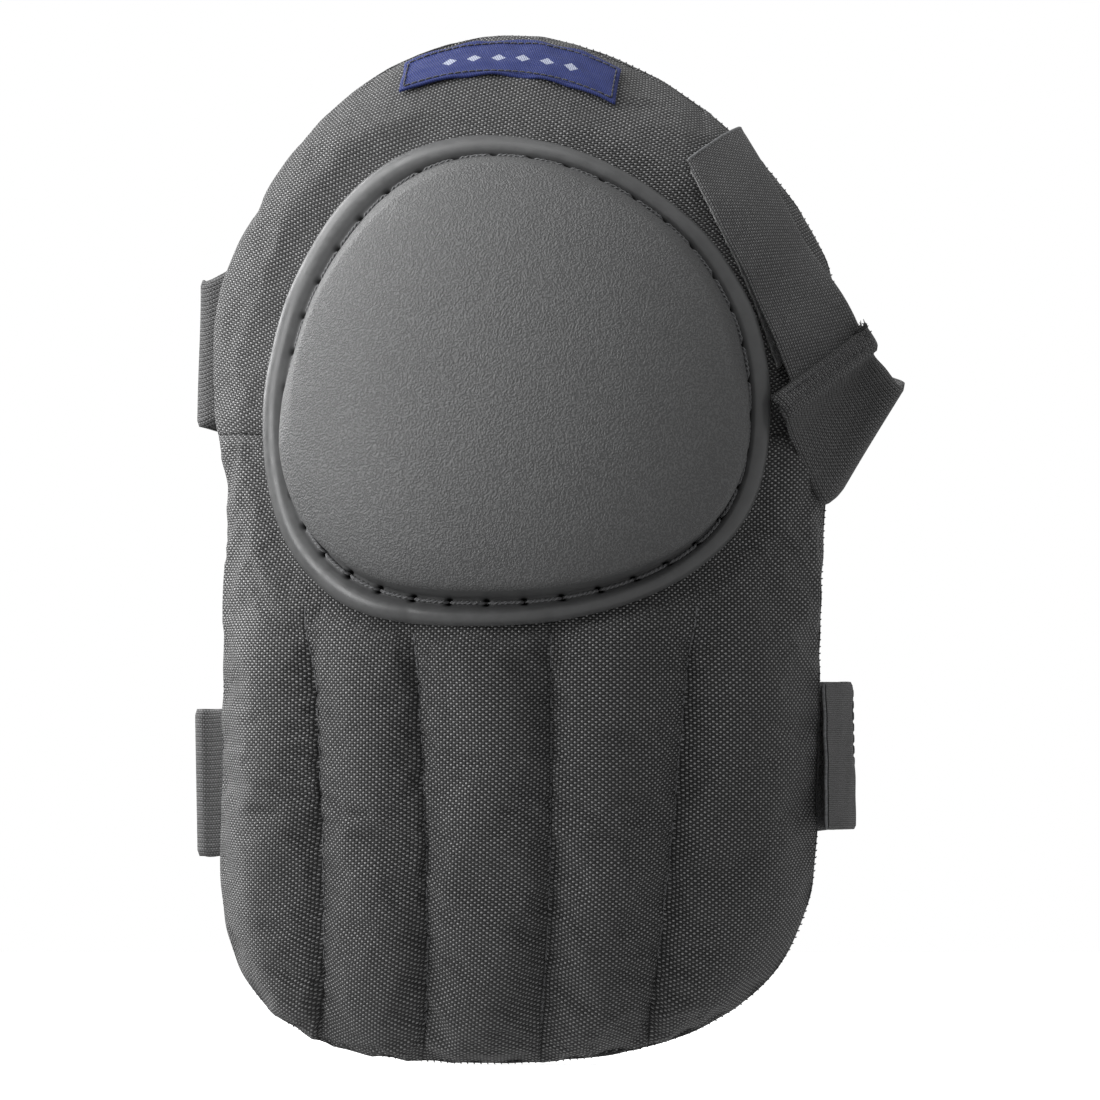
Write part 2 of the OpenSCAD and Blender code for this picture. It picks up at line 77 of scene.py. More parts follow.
# the rounded top ends at the first height and the rounded bottom begins at the second
ROUND_TOP_Z, ROUND_BOTTOM_Z = 8.0, -118.0
END_LEAN = 8.0
SHOULDER_Z, HEEL_Z = 48.0, -160.5
SHIN_SHIFT = 1.3
WRAP_R, UPPER_R, LOWER_R = 97.0, 200.0, 170.0
STRAIGHT_Z = -68.0
FRONT_REACH = 72.0
KNEE_THICK, SEAM_THICK, RIB_RISE = 13.0, 3.2, 6.0
PANEL_Z = -13.0
FOAM_SPLIT_Z = -62.0
SEAM_TOP = (-52.5, -24.0, 12.0, 47.5)
SEAM_BOTTOM = (-45.0, -16.5, 13.5, 40.0)
EDGE_ROLL = 13.0
CLOTH = 1.0

# ---- the cap ----
CAP_HALF, CAP_UP, CAP_DOWN, CAP_MID = 64.5, 71.0, 54.5, -8.0
CAP_STITCH = 9.5
GROOVE_IN = 6.9

# ---- straps, tabs and label ----
STRAP_W, STRAP_T, TAPE_T, PATCH_T = 38.0, 1.6, 1.4, 1.3
STRAP_BACK = 55.0
LOWER_STRAP_Z = -103.0
LOWER_RIGHT_Z = LOWER_STRAP_Z + 7
LABEL_L, LABEL_H = 57.0, 19.0


# ---------------------------------------------------------------- helpers
def ramp(v, lo, hi):
    return np.clip((v - lo) / (hi - lo), 0.0, 1.0)


def smooth(v, lo, hi):
    t = ramp(v, lo, hi)
    return t * t * (3 - 2 * t)


def lerp(a, b, t):
    return a + (b - a) * t


def bezier(a, b, c, d, t):
    return (1 - t) ** 3 * a + 3 * (1 - t) ** 2 * t * b + 3 * (1 - t) * t * t * c + t ** 3 * d


def unit(v):
    return v / np.maximum(np.linalg.norm(v, axis=-1, keepdims=True), 1e-12)


def ripple(a, b, seed, size):
    """Smooth noise between about -1 and 1 over the plane (a, b); size is its usual wavelength."""
    rng = np.random.default_rng(seed)
    total = 0.0
    for _ in range(9):
        turn, phase = rng.uniform(0, 2 * math.pi, 2)
        k = 2 * math.pi / (size * rng.uniform(0.65, 1.6))
        total = total + np.sin(k * (a * math.cos(turn) + b * math.sin(turn)) + phase)
    return total / 3.2


# ---------------------------------------------------------------- the shell's surface
def top_heights(t):
    """Heights along the rounded top, from the top at t 0 to the straighter side at t 1."""
    return bezier(SHELL_TOP, SHELL_TOP, SHOULDER_Z, ROUND_TOP_Z, t)


def bottom_heights(t):
    """Heights along the rounded bottom, from the side at t 0 to the bottom at t 1."""
    return bezier(ROUND_BOTTOM_Z, HEEL_Z, SHELL_BOTTOM, SHELL_BOTTOM, t)


STEPS = np.linspace(0, 1, 4001)
TOP_Z, TOP_HALF = top_heights(STEPS), bezier(0, 39, KNEE_HALF + 0.7, KNEE_HALF, STEPS)
LOW_Z, LOW_HALF = bottom_heights(STEPS), bezier(SHIN_HALF, SHIN_HALF, 53, 0, STEPS)


def lean(z):
    """How far a height's middle is from the leg's middle plane."""
    return 0.8 - END_LEAN * (np.abs(z + 43) / 128) ** 3 - SHIN_SHIFT * smooth(-z, 10, 75)


def half_at(z):
    """Half of the shell's width at a height."""
    side = lerp(KNEE_HALF, SHIN_HALF, smooth(ROUND_TOP_Z - z, 0, 45))
    top = np.interp(-z, -TOP_Z, TOP_HALF)
    low = np.interp(-z, -LOW_Z, LOW_HALF)
    return np.where(z > ROUND_TOP_Z, top, np.where(z < ROUND_BOTTOM_Z, low, side))


def top_at(x):
    return np.interp(np.abs(x), TOP_HALF, TOP_Z)


def bottom_at(x):
    return np.interp(np.abs(x), LOW_HALF[::-1], LOW_Z[::-1])


def edge_distance(x, z):
    """Distance in from the sewn edge, at x from a height's middle."""
    dx = np.maximum(half_at(z) - np.abs(x), 0)
    up = np.maximum(top_at(x) - z, 0)
    down = np.maximum(z - bottom_at(x), 0)

    def past_corner(d):
        return dx * d / np.sqrt(dx * dx + d * d + 1e-9)

    return np.minimum(past_corner(up), past_corner(down))


def toward_edge(x, z):
    """Unit direction, in x and z, in which the sewn edge comes nearer."""
    step = 0.5
    out_x = edge_distance(x - step, z) - edge_distance(x + step, z)
    out_z = edge_distance(x, z - step) - edge_distance(x, z + step)
    size = np.hypot(out_x, out_z) + 1e-9
    return out_x / size, out_z / size


def field(x, z):
    """0 on the sewn edge and 1 where the padding has its full thickness."""
    k = ramp(edge_distance(x, z), 0, EDGE_ROLL)
    return np.sqrt(np.maximum(1 - (1 - k) ** 2, 0))


def seam_x(k, z):
    """x of a quilting seam at a height; near the bottom it runs out to the edge and stops there."""
    x = lerp(SEAM_TOP[k], SEAM_BOTTOM[k], ramp(FOAM_SPLIT_Z - z, 0, 113))
    room = half_at(z)
    return np.clip(x, -room + 0.4 * (k + 1), room - 0.4 * (4 - k))


def channel_sides(z):
    """x of the shell's two edges and, between them, its four quilting seams."""
    return [-half_at(z)] + [seam_x(k, z) for k in range(4)] + [half_at(z)]


def fullness(x, z):
    """0 on a quilting seam, 1 on the crest of a channel; channels are full and seams tight."""
    sides = channel_sides(z)
    total = np.zeros(np.broadcast(x, z).shape)
    for lo, hi in zip(sides[:-1], sides[1:]):
        s = np.clip((x - lo) / np.maximum(hi - lo, 1e-6), 0, 1)
        total = np.maximum(total, 4 * s * (1 - s))
    return total ** 0.74


def quilt(z):
    """0 over the knee and 1 over the shin, where the channels are sewn in."""
    return smooth(FOAM_SPLIT_Z + 8 - z, 0, 24)


def relief(x, z):
    return quilt(z) * (0.4 - fullness(x, z)) * RIB_RISE * field(x, z)


def across(x):
    return WRAP_R - np.sqrt(WRAP_R ** 2 - x * x)


def bend(z):
    """Height over the straightest place, and the radius of the shell's curve there."""
    d = z - STRAIGHT_Z
    return d, np.where(d > 0, UPPER_R, LOWER_R)


def along(z):
    d, r = bend(z)
    return r - np.sqrt(r * r - d * d)


def edge_roll(z):
    """How far the sewn edge rolls back."""
    return 6 + 8 * ramp(z, 20, 80)


def inward(x, z):
    """Direction from the front face into the shell."""
    x, d, r = np.broadcast_arrays(x, *bend(z))
    sideways = -x / np.sqrt(WRAP_R ** 2 - x * x)
    return unit(np.stack([sideways, np.ones(x.shape), -d / np.sqrt(r * r - d * d)], -1))


def at(x, z, depth):
    """Point depth mm under the front face, x mm from the middle of height z."""
    x = np.clip(x, -WRAP_R + 2, WRAP_R - 2)
    roll = edge_roll(z) * (1 - field(x, z))
    x, z, depth, roll = np.broadcast_arrays(x, z, depth, roll)
    base = np.stack([x + lean(z), -FRONT_REACH + across(x) + along(z) + roll, z], -1)
    return base + (depth + relief(x, z))[..., None] * inward(x, z)


def thickness(x, z):
    q, f = quilt(z), field(x, z)
    return SEAM_THICK + f * lerp(KNEE_THICK - SEAM_THICK, 10 * fullness(x, z), q)


def on(x, z, height):
    """Point height mm above the front face; x is the real x, not counted from the middle."""
    return at(x - lean(z), z, -height)


def outward(x, z):
    """Direction out of the front face at the real x."""
    return -inward(x - lean(z), z)


def behind(x, z, off):
    """Point off mm behind the lining."""
    return at(x - lean(z), z, thickness(x - lean(z), z) + off)


# ---------------------------------------------------------------- meshes
def grid_quads(n, m, first=0, wrap=False):
    """Quads of an n by m grid of points; with wrap the last column joins the first."""
    i, j = np.meshgrid(np.arange(n - 1), np.arange(m if wrap else m - 1), indexing="ij")
    k = (j + 1) % m
    return first + np.stack([i * m + j, i * m + k, (i + 1) * m + k, (i + 1) * m + j], -1).reshape(-1, 4)


def mesh_object(name, points, faces, uv=None):
    """A smooth-shaded mesh from points in mm. uv is per point, in mm along the cloth."""
    data = bpy.data.meshes.new(name)
    data.from_pydata((np.asarray(points, float) * MM).tolist(), [], [list(map(int, f)) for f in faces])
    whole = bmesh.new()
    whole.from_mesh(data)
    bmesh.ops.recalc_face_normals(whole, faces=whole.faces)
    whole.to_mesh(data)
    whole.free()
    if uv is not None:
        layer = data.uv_layers.new(name="cloth")
        index = np.zeros(len(data.loops), int)
        data.loops.foreach_get("vertex_index", index)
        layer.data.foreach_set("uv", np.asarray(uv, float)[index].ravel())
    data.shade_smooth()
    data.update()
    piece = bpy.data.objects.new(name, data)
    bpy.context.scene.collection.objects.link(piece)
    return piece


def slab(name, front, back, uv):
    """A closed sheet between two equal grids of points."""
    n, m = front.shape[:2]
    count = n * m
    faces = [grid_quads(n, m), grid_quads(n, m, count)[:, ::-1]]
    rim = np.concatenate([np.arange(m), np.arange(1, n) * m + m - 1,
                          (n - 1) * m + np.arange(m - 2, -1, -1), np.arange(n - 2, 0, -1) * m])
    nxt = np.roll(rim, -1)
    faces.append(np.stack([nxt, rim, rim + count, nxt + count], -1))
    points = np.concatenate([front.reshape(-1, 3), back.reshape(-1, 3)])
    flat = uv.reshape(-1, 2)
    return mesh_object(name, points, np.concatenate(faces), np.concatenate([flat, flat]))


def tubes(name, paths, radius, sides=6, ends=0.55):
    """Round threads along paths of equal point count, with their ends drawn in."""
    paths = np.asarray(paths, float)
    count, n = paths.shape[:2]
    run = unit(np.gradient(paths, axis=1))
    side = np.cross(run, np.array([0.31, 0.17, 0.93]))
    for i in range(1, n):
        side[:, i] = side[:, i - 1] - (side[:, i - 1] * run[:, i]).sum(-1, keepdims=True) * run[:, i]
    side = unit(side)
    up = np.cross(run, side)
    turn = np.arange(sides) * 2 * math.pi / sides
    taper = np.ones(n)
    taper[0] = taper[-1] = ends
    ring = np.cos(turn)[:, None] * side[..., None, :] + np.sin(turn)[:, None] * up[..., None, :]
    points = paths[:, :, None, :] + radius * taper[None, :, None, None] * ring
    faces = []
    for c in range(count):
        first = c * n * sides
        faces.append(grid_quads(n, sides, first, wrap=True))
    faces = [list(f) for f in np.concatenate(faces)]
    for c in range(count):
        first = c * n * sides
        faces.append(list(range(first + sides - 1, first - 1, -1)))
        last = first + (n - 1) * sides
        faces.append(list(range(last, last + sides)))
    length = np.broadcast_to(np.arange(n)[None, :, None] * 0.4, (count, n, sides))
    around = np.broadcast_to(turn[None, None, :], (count, n, sides))
    uv = np.stack([around, length], -1).reshape(-1, 2)
    return mesh_object(name, points.reshape(-1, 3), faces, uv)


def spline(points, n):
    """Catmull-Rom through points (k by ...), n steps to a span."""
    p = np.asarray(points, float)
    last = len(p) - 1
    out = []
    for i in range(last):
        a, b, c, d = p[max(i - 1, 0)], p[i], p[i + 1], p[min(i + 2, last)]
        for j in range(n):
            t = j / n
            out.append(0.5 * (2 * b + (c - a) * t + (2 * a - 5 * b + 4 * c - d) * t * t
                              + (3 * b - a - 3 * c + d) * t ** 3))
    out.append(p[last])
    return np.array(out)


def settle(piece, material, body, slot, *nodes):
    """Gives a piece its material and its body, and hides the CAD nodes it stands for; slot, its finish, is
    not used.
    """
    piece.data.materials.append(material)
    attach(piece, body)
    if nodes:
        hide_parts(*nodes)


# ---------------------------------------------------------------- how the cover lies
def cap_distance(x, z):
    """Roughly how far a point of the front face is outside the cap's outline."""
    above = z > CAP_MID
    n = np.where(above, 2.0, 2.5)
    px = np.abs(x - cap_drift(z)) / CAP_HALF
    pz = np.abs(z - CAP_MID) / np.where(above, CAP_UP, CAP_DOWN)
    s = (px ** n + pz ** n) ** (1 / n)
    reach = np.hypot(px * CAP_HALF, pz * np.where(above, CAP_UP, CAP_DOWN))
    return reach * (1 - 1 / np.maximum(s, 1e-6))


def cap_drift(z):
    rise = np.maximum(z - CAP_MID, 0) / 60
    fall = np.maximum(CAP_MID - z, 0) / 54
    return -0.5 - 5.5 * rise ** 3 - 8 * fall ** 4


def bulge(x, z):
    """How far the padding swells past the plain face where nothing presses on it."""
    free = smooth(cap_distance(x, z), 1, 10)
    rel = x - lean(z)
    return 2.2 * free * field(rel, z) * (1 - quilt(z)) * (1 - 0.75 * smooth(z, 60, 80))


def creases(x, z):
    """Small folds of the cover: gathers along seams and edges, a pinched panel seam, soft dents."""
    rel = x - lean(z)
    q, f = quilt(z), field(rel, z)
    total = 0.35 * ripple(x, z, 3, 34) * f
    for k in range(4):
        off = rel - seam_x(k, z)
        near = np.exp(-(np.abs(off) / 3.6) ** 1.5)
        total = total + q * near * f * 0.42 * ripple(x * 0.35, z + 0.3 * off, 20 + k, 7.5)
    edge = edge_distance(rel, z)
    total = total + 0.22 * np.exp(-(edge / 4.5) ** 2) * ripple(x, z, 41, 12)
    panel = np.exp(-((z - PANEL_Z - 0.5 * np.sin(x / 7)) / 2.4) ** 2)
    total = total - 1.1 * panel * f
    return total


def cover_height(x, z):
    return bulge(x, z) + creases(x, z)


def rim_fold(x, z):
    """How the cover's rim folds out over the sewn edge at the viewer's left: an offset in mm."""
    rel = x - lean(z)
    out_x, out_z = toward_edge(rel, z)
    beside_knee = smooth(z, -30, -8) * (1 - smooth(z, 24, 48))
    reach = smooth(-x, 10, 45) * (0.5 + 1.8 * beside_knee)
    reach = reach * np.exp(-(edge_distance(rel, z) / 5.0) ** 2) * (1 + 0.12 * ripple(x, z, 47, 26))
    return np.stack([reach * out_x, 0.5 * reach, reach * out_z], -1)


def cloth_uv(x, z, turn):
    """Where a point lies on the flat cloth, in mm, with the cloth turned by an angle in degrees."""
    rel = x - lean(z)
    out_x, out_z = toward_edge(rel, z)
    t = 1 - ramp(edge_distance(rel, z), 0, EDGE_ROLL)
    extra = edge_roll(z) * (np.arcsin(np.minimum(t, 1)) - t)
    d, r = bend(z)
    u = WRAP_R * np.arcsin(np.clip(rel / WRAP_R, -1, 1)) + extra * out_x
    v = r * np.arcsin(d / r) + extra * out_z
    c, s = math.cos(math.radians(turn)), math.sin(math.radians(turn))
    return np.stack([u * c - v * s, u * s + v * c], -1)


def cover_grid(heights, per_channel):
    """x and z of a grid whose columns follow the quilting seams, closer together beside them."""
    z = np.asarray(heights, float)
    sides = np.stack(channel_sides(z), -1)
    s = 0.5 - 0.5 * np.cos(np.linspace(0, math.pi, per_channel + 1))
    s = lerp(s, np.linspace(0, 1, per_channel + 1), 0.45)
    rows = []
    for row in sides:
        parts = [lerp(a, b, s[:-1]) for a, b in zip(row[:-1], row[1:])]
        rows.append(np.concatenate(parts + [row[-1:]]))
    x = np.array(rows)
    return x + lean(z)[:, None], np.broadcast_to(z[:, None], x.shape)


def top_rows(count):
    return top_heights(np.linspace(0.012, 1, count))


def bottom_rows(count):
    return bottom_heights(np.linspace(0, 0.985, count))


UPPER_HEIGHTS = np.concatenate([top_rows(80), np.linspace(ROUND_TOP_Z - 1, PANEL_Z + 0.1, 20)])
LOWER_HEIGHTS = np.concatenate([np.linspace(PANEL_Z - 0.1, ROUND_BOTTOM_Z + 1, 100), bottom_rows(64)])


# ---------------------------------------------------------------- materials
class Shade:
    """A Principled material and short calls that add nodes to it."""

    def __init__(self, name, color, rough, specular=0.5, sheen=0.0):
        self.mat = bpy.data.materials.new(name)
        self.mat.use_nodes = True
        self.tree = self.mat.node_tree
        self.skin = self.tree.nodes["Principled BSDF"]
        self.skin.inputs["Base Color"].default_value = (*color, 1)
        self.skin.inputs["Roughness"].default_value = rough
        self.skin.inputs["Specular IOR Level"].default_value = specular
        self.skin.inputs["Sheen Weight"].default_value = sheen
        self.skin.inputs["Sheen Roughness"].default_value = 0.5
        self.mat.diffuse_color = (*color, 1)

    def link(self, value, socket):
        if isinstance(value, bpy.types.NodeSocket):
            self.tree.links.new(value, socket)
        else:
            socket.default_value = value

    def math(self, op, a, b=0.0, c=0.0):
        node = self.tree.nodes.new("ShaderNodeMath")
        node.operation = op
        for socket, value in zip(node.inputs, (a, b, c)):
            self.link(value, socket)
        return node.outputs[0]

    def remap(self, value, lo, hi, new_lo, new_hi):
        node = self.tree.nodes.new("ShaderNodeMapRange")
        node.interpolation_type = "SMOOTHSTEP"
        for socket, given in zip(node.inputs, (value, lo, hi, new_lo, new_hi)):
            self.link(given, socket)
        return node.outputs[0]

    def mix(self, share, a, b):
        node = self.tree.nodes.new("ShaderNodeMix")
        node.data_type = "RGBA"
        self.link(share, node.inputs[0])
        for socket, color in ((node.inputs[6], a), (node.inputs[7], b)):
            self.link(color if isinstance(color, bpy.types.NodeSocket) else (*color, 1), socket)
        return node.outputs[2]

    def times(self, a, b):
        return self.math("MULTIPLY", a, b)

    def plus(self, a, b):
        return self.math("ADD", a, b)

    def wave(self, value):
        """Bumps between 0 and 1, one for every pi."""
        return self.math("ABSOLUTE", self.math("SINE", value))

    def paint(self, color, factor):
        """Base colour: a colour times a factor."""
        node = self.tree.nodes.new("ShaderNodeVectorMath")
        node.operation = "SCALE"
        self.link(color, node.inputs[0])
        self.link(factor, node.inputs["Scale"])
        self.color(node.outputs[0])

    def cloth(self):
        """u and v along the cloth, in mm."""
        uv = self.tree.nodes.new("ShaderNodeUVMap")
        uv.uv_map = "cloth"
        split = self.tree.nodes.new("ShaderNodeSeparateXYZ")
        self.tree.links.new(uv.outputs[0], split.inputs[0])
        return split.outputs[0], split.outputs[1]

    def place(self):
        """The object's own coordinates, in metres."""
        return self.tree.nodes.new("ShaderNodeTexCoord").outputs["Object"]

    def noise(self, vector, scale, detail=2.0, rough=0.5):
        node = self.tree.nodes.new("ShaderNodeTexNoise")
        self.link(vector, node.inputs["Vector"])
        node.inputs["Scale"].default_value = scale
        node.inputs["Detail"].default_value = detail
        node.inputs["Roughness"].default_value = rough
        return node.outputs[0]

    def joined(self, x, y, z=0.0):
        node = self.tree.nodes.new("ShaderNodeCombineXYZ")
        for socket, value in zip(node.inputs, (x, y, z)):
            self.link(value, socket)
        return node.outputs[0]

    def bump(self, height, depth_mm, strength=1.0):
        """Raises the surface by height times depth, on top of any bump already there."""
        node = self.tree.nodes.new("ShaderNodeBump")
        node.inputs["Strength"].default_value = strength
        node.inputs["Distance"].default_value = depth_mm * MM
        self.link(height, node.inputs["Height"])
        before = self.skin.inputs["Normal"].links
        if before:
            self.tree.links.new(before[0].from_socket, node.inputs["Normal"])
        self.tree.links.new(node.outputs[0], self.skin.inputs["Normal"])

    def color(self, value):
        self.link(value, self.skin.inputs["Base Color"])

    def rough(self, value):
        self.link(value, self.skin.inputs["Roughness"])

    def weave(self, warp_pitch, weft_pitch, shift=0.0):
        """A plain weave: its height, 0 to 1, where the weft lies on top, and a value for each yarn."""
        u, v = self.cloth()
        v = self.plus(v, shift)
        a = self.math("DIVIDE", u, warp_pitch)
        b = self.math("DIVIDE", v, weft_pitch)
        sa = self.math("SINE", self.times(a, math.pi))
        sb = self.math("SINE", self.times(b, math.pi))
        over = self.remap(self.times(sa, sb), -0.22, 0.22, 0.0, 1.0)
        wa, wb = self.math("ABSOLUTE", sa), self.math("ABSOLUTE", sb)
        weft = self.times(self.math("POWER", wb, 0.55), wa)
        warp = self.times(self.math("POWER", wa, 0.55), wb)
        height = self.plus(self.times(weft, over), self.times(warp, self.math("SUBTRACT", 1.0, over)))
        which = self.joined(self.math("FLOOR", a), self.times(self.math("FLOOR", b), 1.7))
        return height, over, self.noise(which, 3.1, 0.0)


# spacing of the cover cloth's yarns
WARP_PITCH, WEFT_PITCH = 0.860, 0.658


def oxford(name, light, dark, specular):
    """Two-grey plain weave of coarse yarns."""
    s = Shade(name, light, 0.5, specular, 0.1)
    u, v = s.cloth()
    wobble = s.times(s.math("SUBTRACT", s.noise(s.joined(u, v), 0.22, 2.0), 0.5), 0.5)
    height, over, each = s.weave(WARP_PITCH, WEFT_PITCH, shift=wobble)
    row = s.wave(s.times(s.plus(v, wobble), math.pi / WEFT_PITCH))
    drift = s.noise(s.place(), 34.0, 3.0)
    tone = s.mix(s.remap(s.times(over, height), 0.25, 0.8, 0.0, 1.0), dark, light)
    shade = s.times(s.remap(row, 0.0, 0.7, 0.2, 1.0), s.remap(height, 0.05, 0.65, 0.4, 1.15))
    shade = s.times(shade, s.remap(each, 0.3, 0.7, 0.78, 1.22))
    s.paint(tone, s.times(shade, s.remap(drift, 0.3, 0.7, 0.9, 1.1)))
    s.rough(s.remap(over, 0.0, 1.0, 0.66, 0.42))
    s.bump(s.plus(height, s.times(row, 0.6)), 0.28)
    return s.mat


def knit(name, color):
    """Brushed lining: faint wales under a short nap."""
    s = Shade(name, color, 0.92, 0.2, 0.6)
    u, v = s.cloth()
    wale = s.wave(s.times(u, math.pi / 1.1))
    loop = s.wave(s.plus(s.times(v, math.pi / 0.8), s.times(wale, 0.9)))
    nap = s.noise(s.place(), 1500.0, 4.0, 0.7)
    patch = s.noise(s.place(), 45.0, 3.0)
    height = s.plus(s.times(wale, s.plus(0.5, s.times(loop, 0.5))), s.times(nap, 0.8))
    s.paint(color, s.times(s.remap(height, 0.2, 1.5, 0.55, 1.3), s.remap(patch, 0.3, 0.7, 0.85, 1.15)))
    s.bump(height, 0.3, 0.8)
    return s.mat


def webbing(name, light, dark, across_pitch, along_pitch, cord_depth):
    """Narrow woven tape; u runs across it and v along it."""
    s = Shade(name, light, 0.6, 0.35, 0.2)
    height, over, each = s.weave(across_pitch, along_pitch)
    cord = s.wave(s.times(s.cloth()[0], math.pi / (2 * across_pitch)))
    shade = s.times(s.remap(height, 0.1, 0.7, 0.02, 1.3), s.remap(each, 0.3, 0.7, 0.8, 1.2))
    s.paint(s.mix(over, dark, light), s.times(shade, s.remap(cord, 0.0, 0.6, 1.0 - 0.8 * cord_depth, 1.0)))
    s.bump(s.plus(height, s.times(cord, 1.8 * cord_depth)), 0.28)
    return s.mat


def pebbled(name, color):
    """Moulded cap: fine leather-like grain with faint scuffs."""
    s = Shade(name, color, 0.46)
    place = s.place()
    grain = s.noise(place, 1950.0, 1.0)
    wrinkle = s.noise(place, 1150.0, 1.5)
    scuff = s.noise(place, 60.0, 5.0, 0.7)
    fine = s.remap(grain, 0.35, 0.65, 0.0, 1.0)
    s.paint(color, s.times(s.remap(fine, 0.0, 1.0, 0.8, 1.16), s.remap(scuff, 0.25, 0.75, 0.95, 1.05)))
    s.rough(s.remap(scuff, 0.3, 0.7, 0.42, 0.52))
    s.bump(s.plus(fine, s.times(wrinkle, 0.5)), 0.16)
    return s.mat


def smooth_plastic(name, color):
    """The cap's bead and groove: the same plastic without the grain, with painted shade that darkens its
    colour in the stitch holes.
    """
    s = Shade(name, color, 0.36)
    marks = s.noise(s.place(), 260.0, 4.0, 0.65)
    hole = s.tree.nodes.new("ShaderNodeAttribute")
    hole.attribute_name = "hole"
    # painted shade: the colour drops to 2 per cent of itself where the hole attribute marks a stitch hole
    painted_hole_shade = s.remap(hole.outputs["Fac"], 0.0, 0.6, 1.0, 0.02)
    s.paint(color, s.times(s.remap(marks, 0.3, 0.7, 0.92, 1.08), painted_hole_shade))
    s.rough(s.remap(marks, 0.3, 0.7, 0.3, 0.48))
    s.bump(marks, 0.05, 0.6)
    return s.mat


def yarn(name, light, dark):
    """Twisted thread: u turns round it and v runs along it."""
    s = Shade(name, light, 0.55, 0.4, 0.3)
    u, v = s.cloth()
    ply = s.wave(s.plus(s.times(v, 3.4), u))
    s.color(s.mix(ply, dark, light))
    s.bump(ply, 0.08, 0.8)
    return s.mat


def pile(name, color):
    """Napped loop tape."""
    s = Shade(name, color, 0.95, 0.15, 0.8)
    place = s.place()
    fuzz = s.plus(s.noise(place, 2400.0, 3.0, 0.7), s.times(s.noise(place, 800.0, 2.0), 0.8))
    s.paint(color, s.remap(fuzz, 0.5, 1.3, 0.45, 1.6))
    s.bump(fuzz, 0.5)
    return s.mat


def foam(name, color):
    """Closed-cell foam."""
    s = Shade(name, color, 0.9, 0.25)
    cells = s.tree.nodes.new("ShaderNodeTexVoronoi")
    s.link(s.place(), cells.inputs["Vector"])
    cells.inputs["Scale"].default_value = 1300.0
    s.paint(color, s.remap(cells.outputs[0], 0.0, 0.7, 1.2, 0.6))
    s.bump(cells.outputs[0], 0.25, -0.7)
    return s.mat


def damask(name, ground, motif):
    """Woven label: fine slanted ribs and a row of small lozenges, with no lettering."""
    s = Shade(name, ground, 0.6, 0.15, 0.05)
    u, v = s.cloth()
    fine = s.wave(s.times(s.plus(u, s.times(v, 0.35)), 5.2))
    picks = s.wave(s.times(v, 7.5))
    cell = s.math("ABSOLUTE", s.math("SUBTRACT", s.math("FRACT", s.math("DIVIDE", u, 6.4)), 0.5))
    lozenge = s.plus(s.times(cell, 6.4), s.math("ABSOLUTE", v))
    inside = s.math("LESS_THAN", s.math("ABSOLUTE", u), 19.2)
    shown = s.times(s.remap(lozenge, 1.75, 2.05, 1.0, 0.0), inside)
    s.paint(s.mix(shown, ground, motif), s.remap(fine, 0.0, 1.0, 0.6, 1.25))
    s.bump(s.plus(fine, s.times(picks, 0.5)), 0.12, 0.7)
    return s.mat


def plain_tape(name, color, rough):
    """A heat-sealed cut: melted yarn ends."""
    s = Shade(name, color, rough)
    lumps = s.noise(s.place(), 1600.0, 3.0, 0.6)
    s.paint(color, s.remap(lumps, 0.3, 0.7, 0.6, 1.4))
    s.bump(lumps, 0.2, 0.9)
    return s.mat


COVER = oxford("cover_cloth", (0.245, 0.245, 0.246), (0.022, 0.022, 0.023), 0.5)
LINING = knit("lining_cloth", (0.030, 0.030, 0.033))
ELASTIC = webbing("elastic_cloth", (0.155, 0.155, 0.157), (0.060, 0.060, 0.061), 0.60, 0.45, 0.95)
TAPE = webbing("tape_cloth", (0.140, 0.140, 0.142), (0.050, 0.050, 0.051), 0.50, 0.44, 0.0)
PLASTIC = pebbled("cap_plastic", (0.100, 0.101, 0.102))
BEAD = smooth_plastic("bead_plastic", (0.088, 0.089, 0.090))
GREY_YARN = yarn("grey_yarn", (0.16, 0.162, 0.168), (0.05, 0.05, 0.052))
DARK_YARN = yarn("dark_yarn", (0.035, 0.035, 0.038), (0.010, 0.010, 0.011))
PILE = pile("loop_pile", (0.055, 0.055, 0.057))
FOAM = foam("pad_foam", (0.04, 0.042, 0.045))
LABEL_CLOTH = damask("label_cloth", (0.026, 0.038, 0.150), (0.36, 0.39, 0.50))
SEALED_EDGE = plain_tape("sealed_edge", (0.16, 0.163, 0.168), 0.5)
HOOKS = plain_tape("hook_nylon", (0.05, 0.05, 0.053), 0.35)


# ---------------------------------------------------------------- the padded shell
CLOTH_FRAMES = 20


def spread(values, places, count):
    """Values given at some places along the first axis, filled in evenly at every place."""
    flat = values.reshape(len(places), -1)
    full = [np.interp(np.arange(count), places, column) for column in flat.T]
    return np.stack(full, -1).reshape(count, *values.shape[1:])


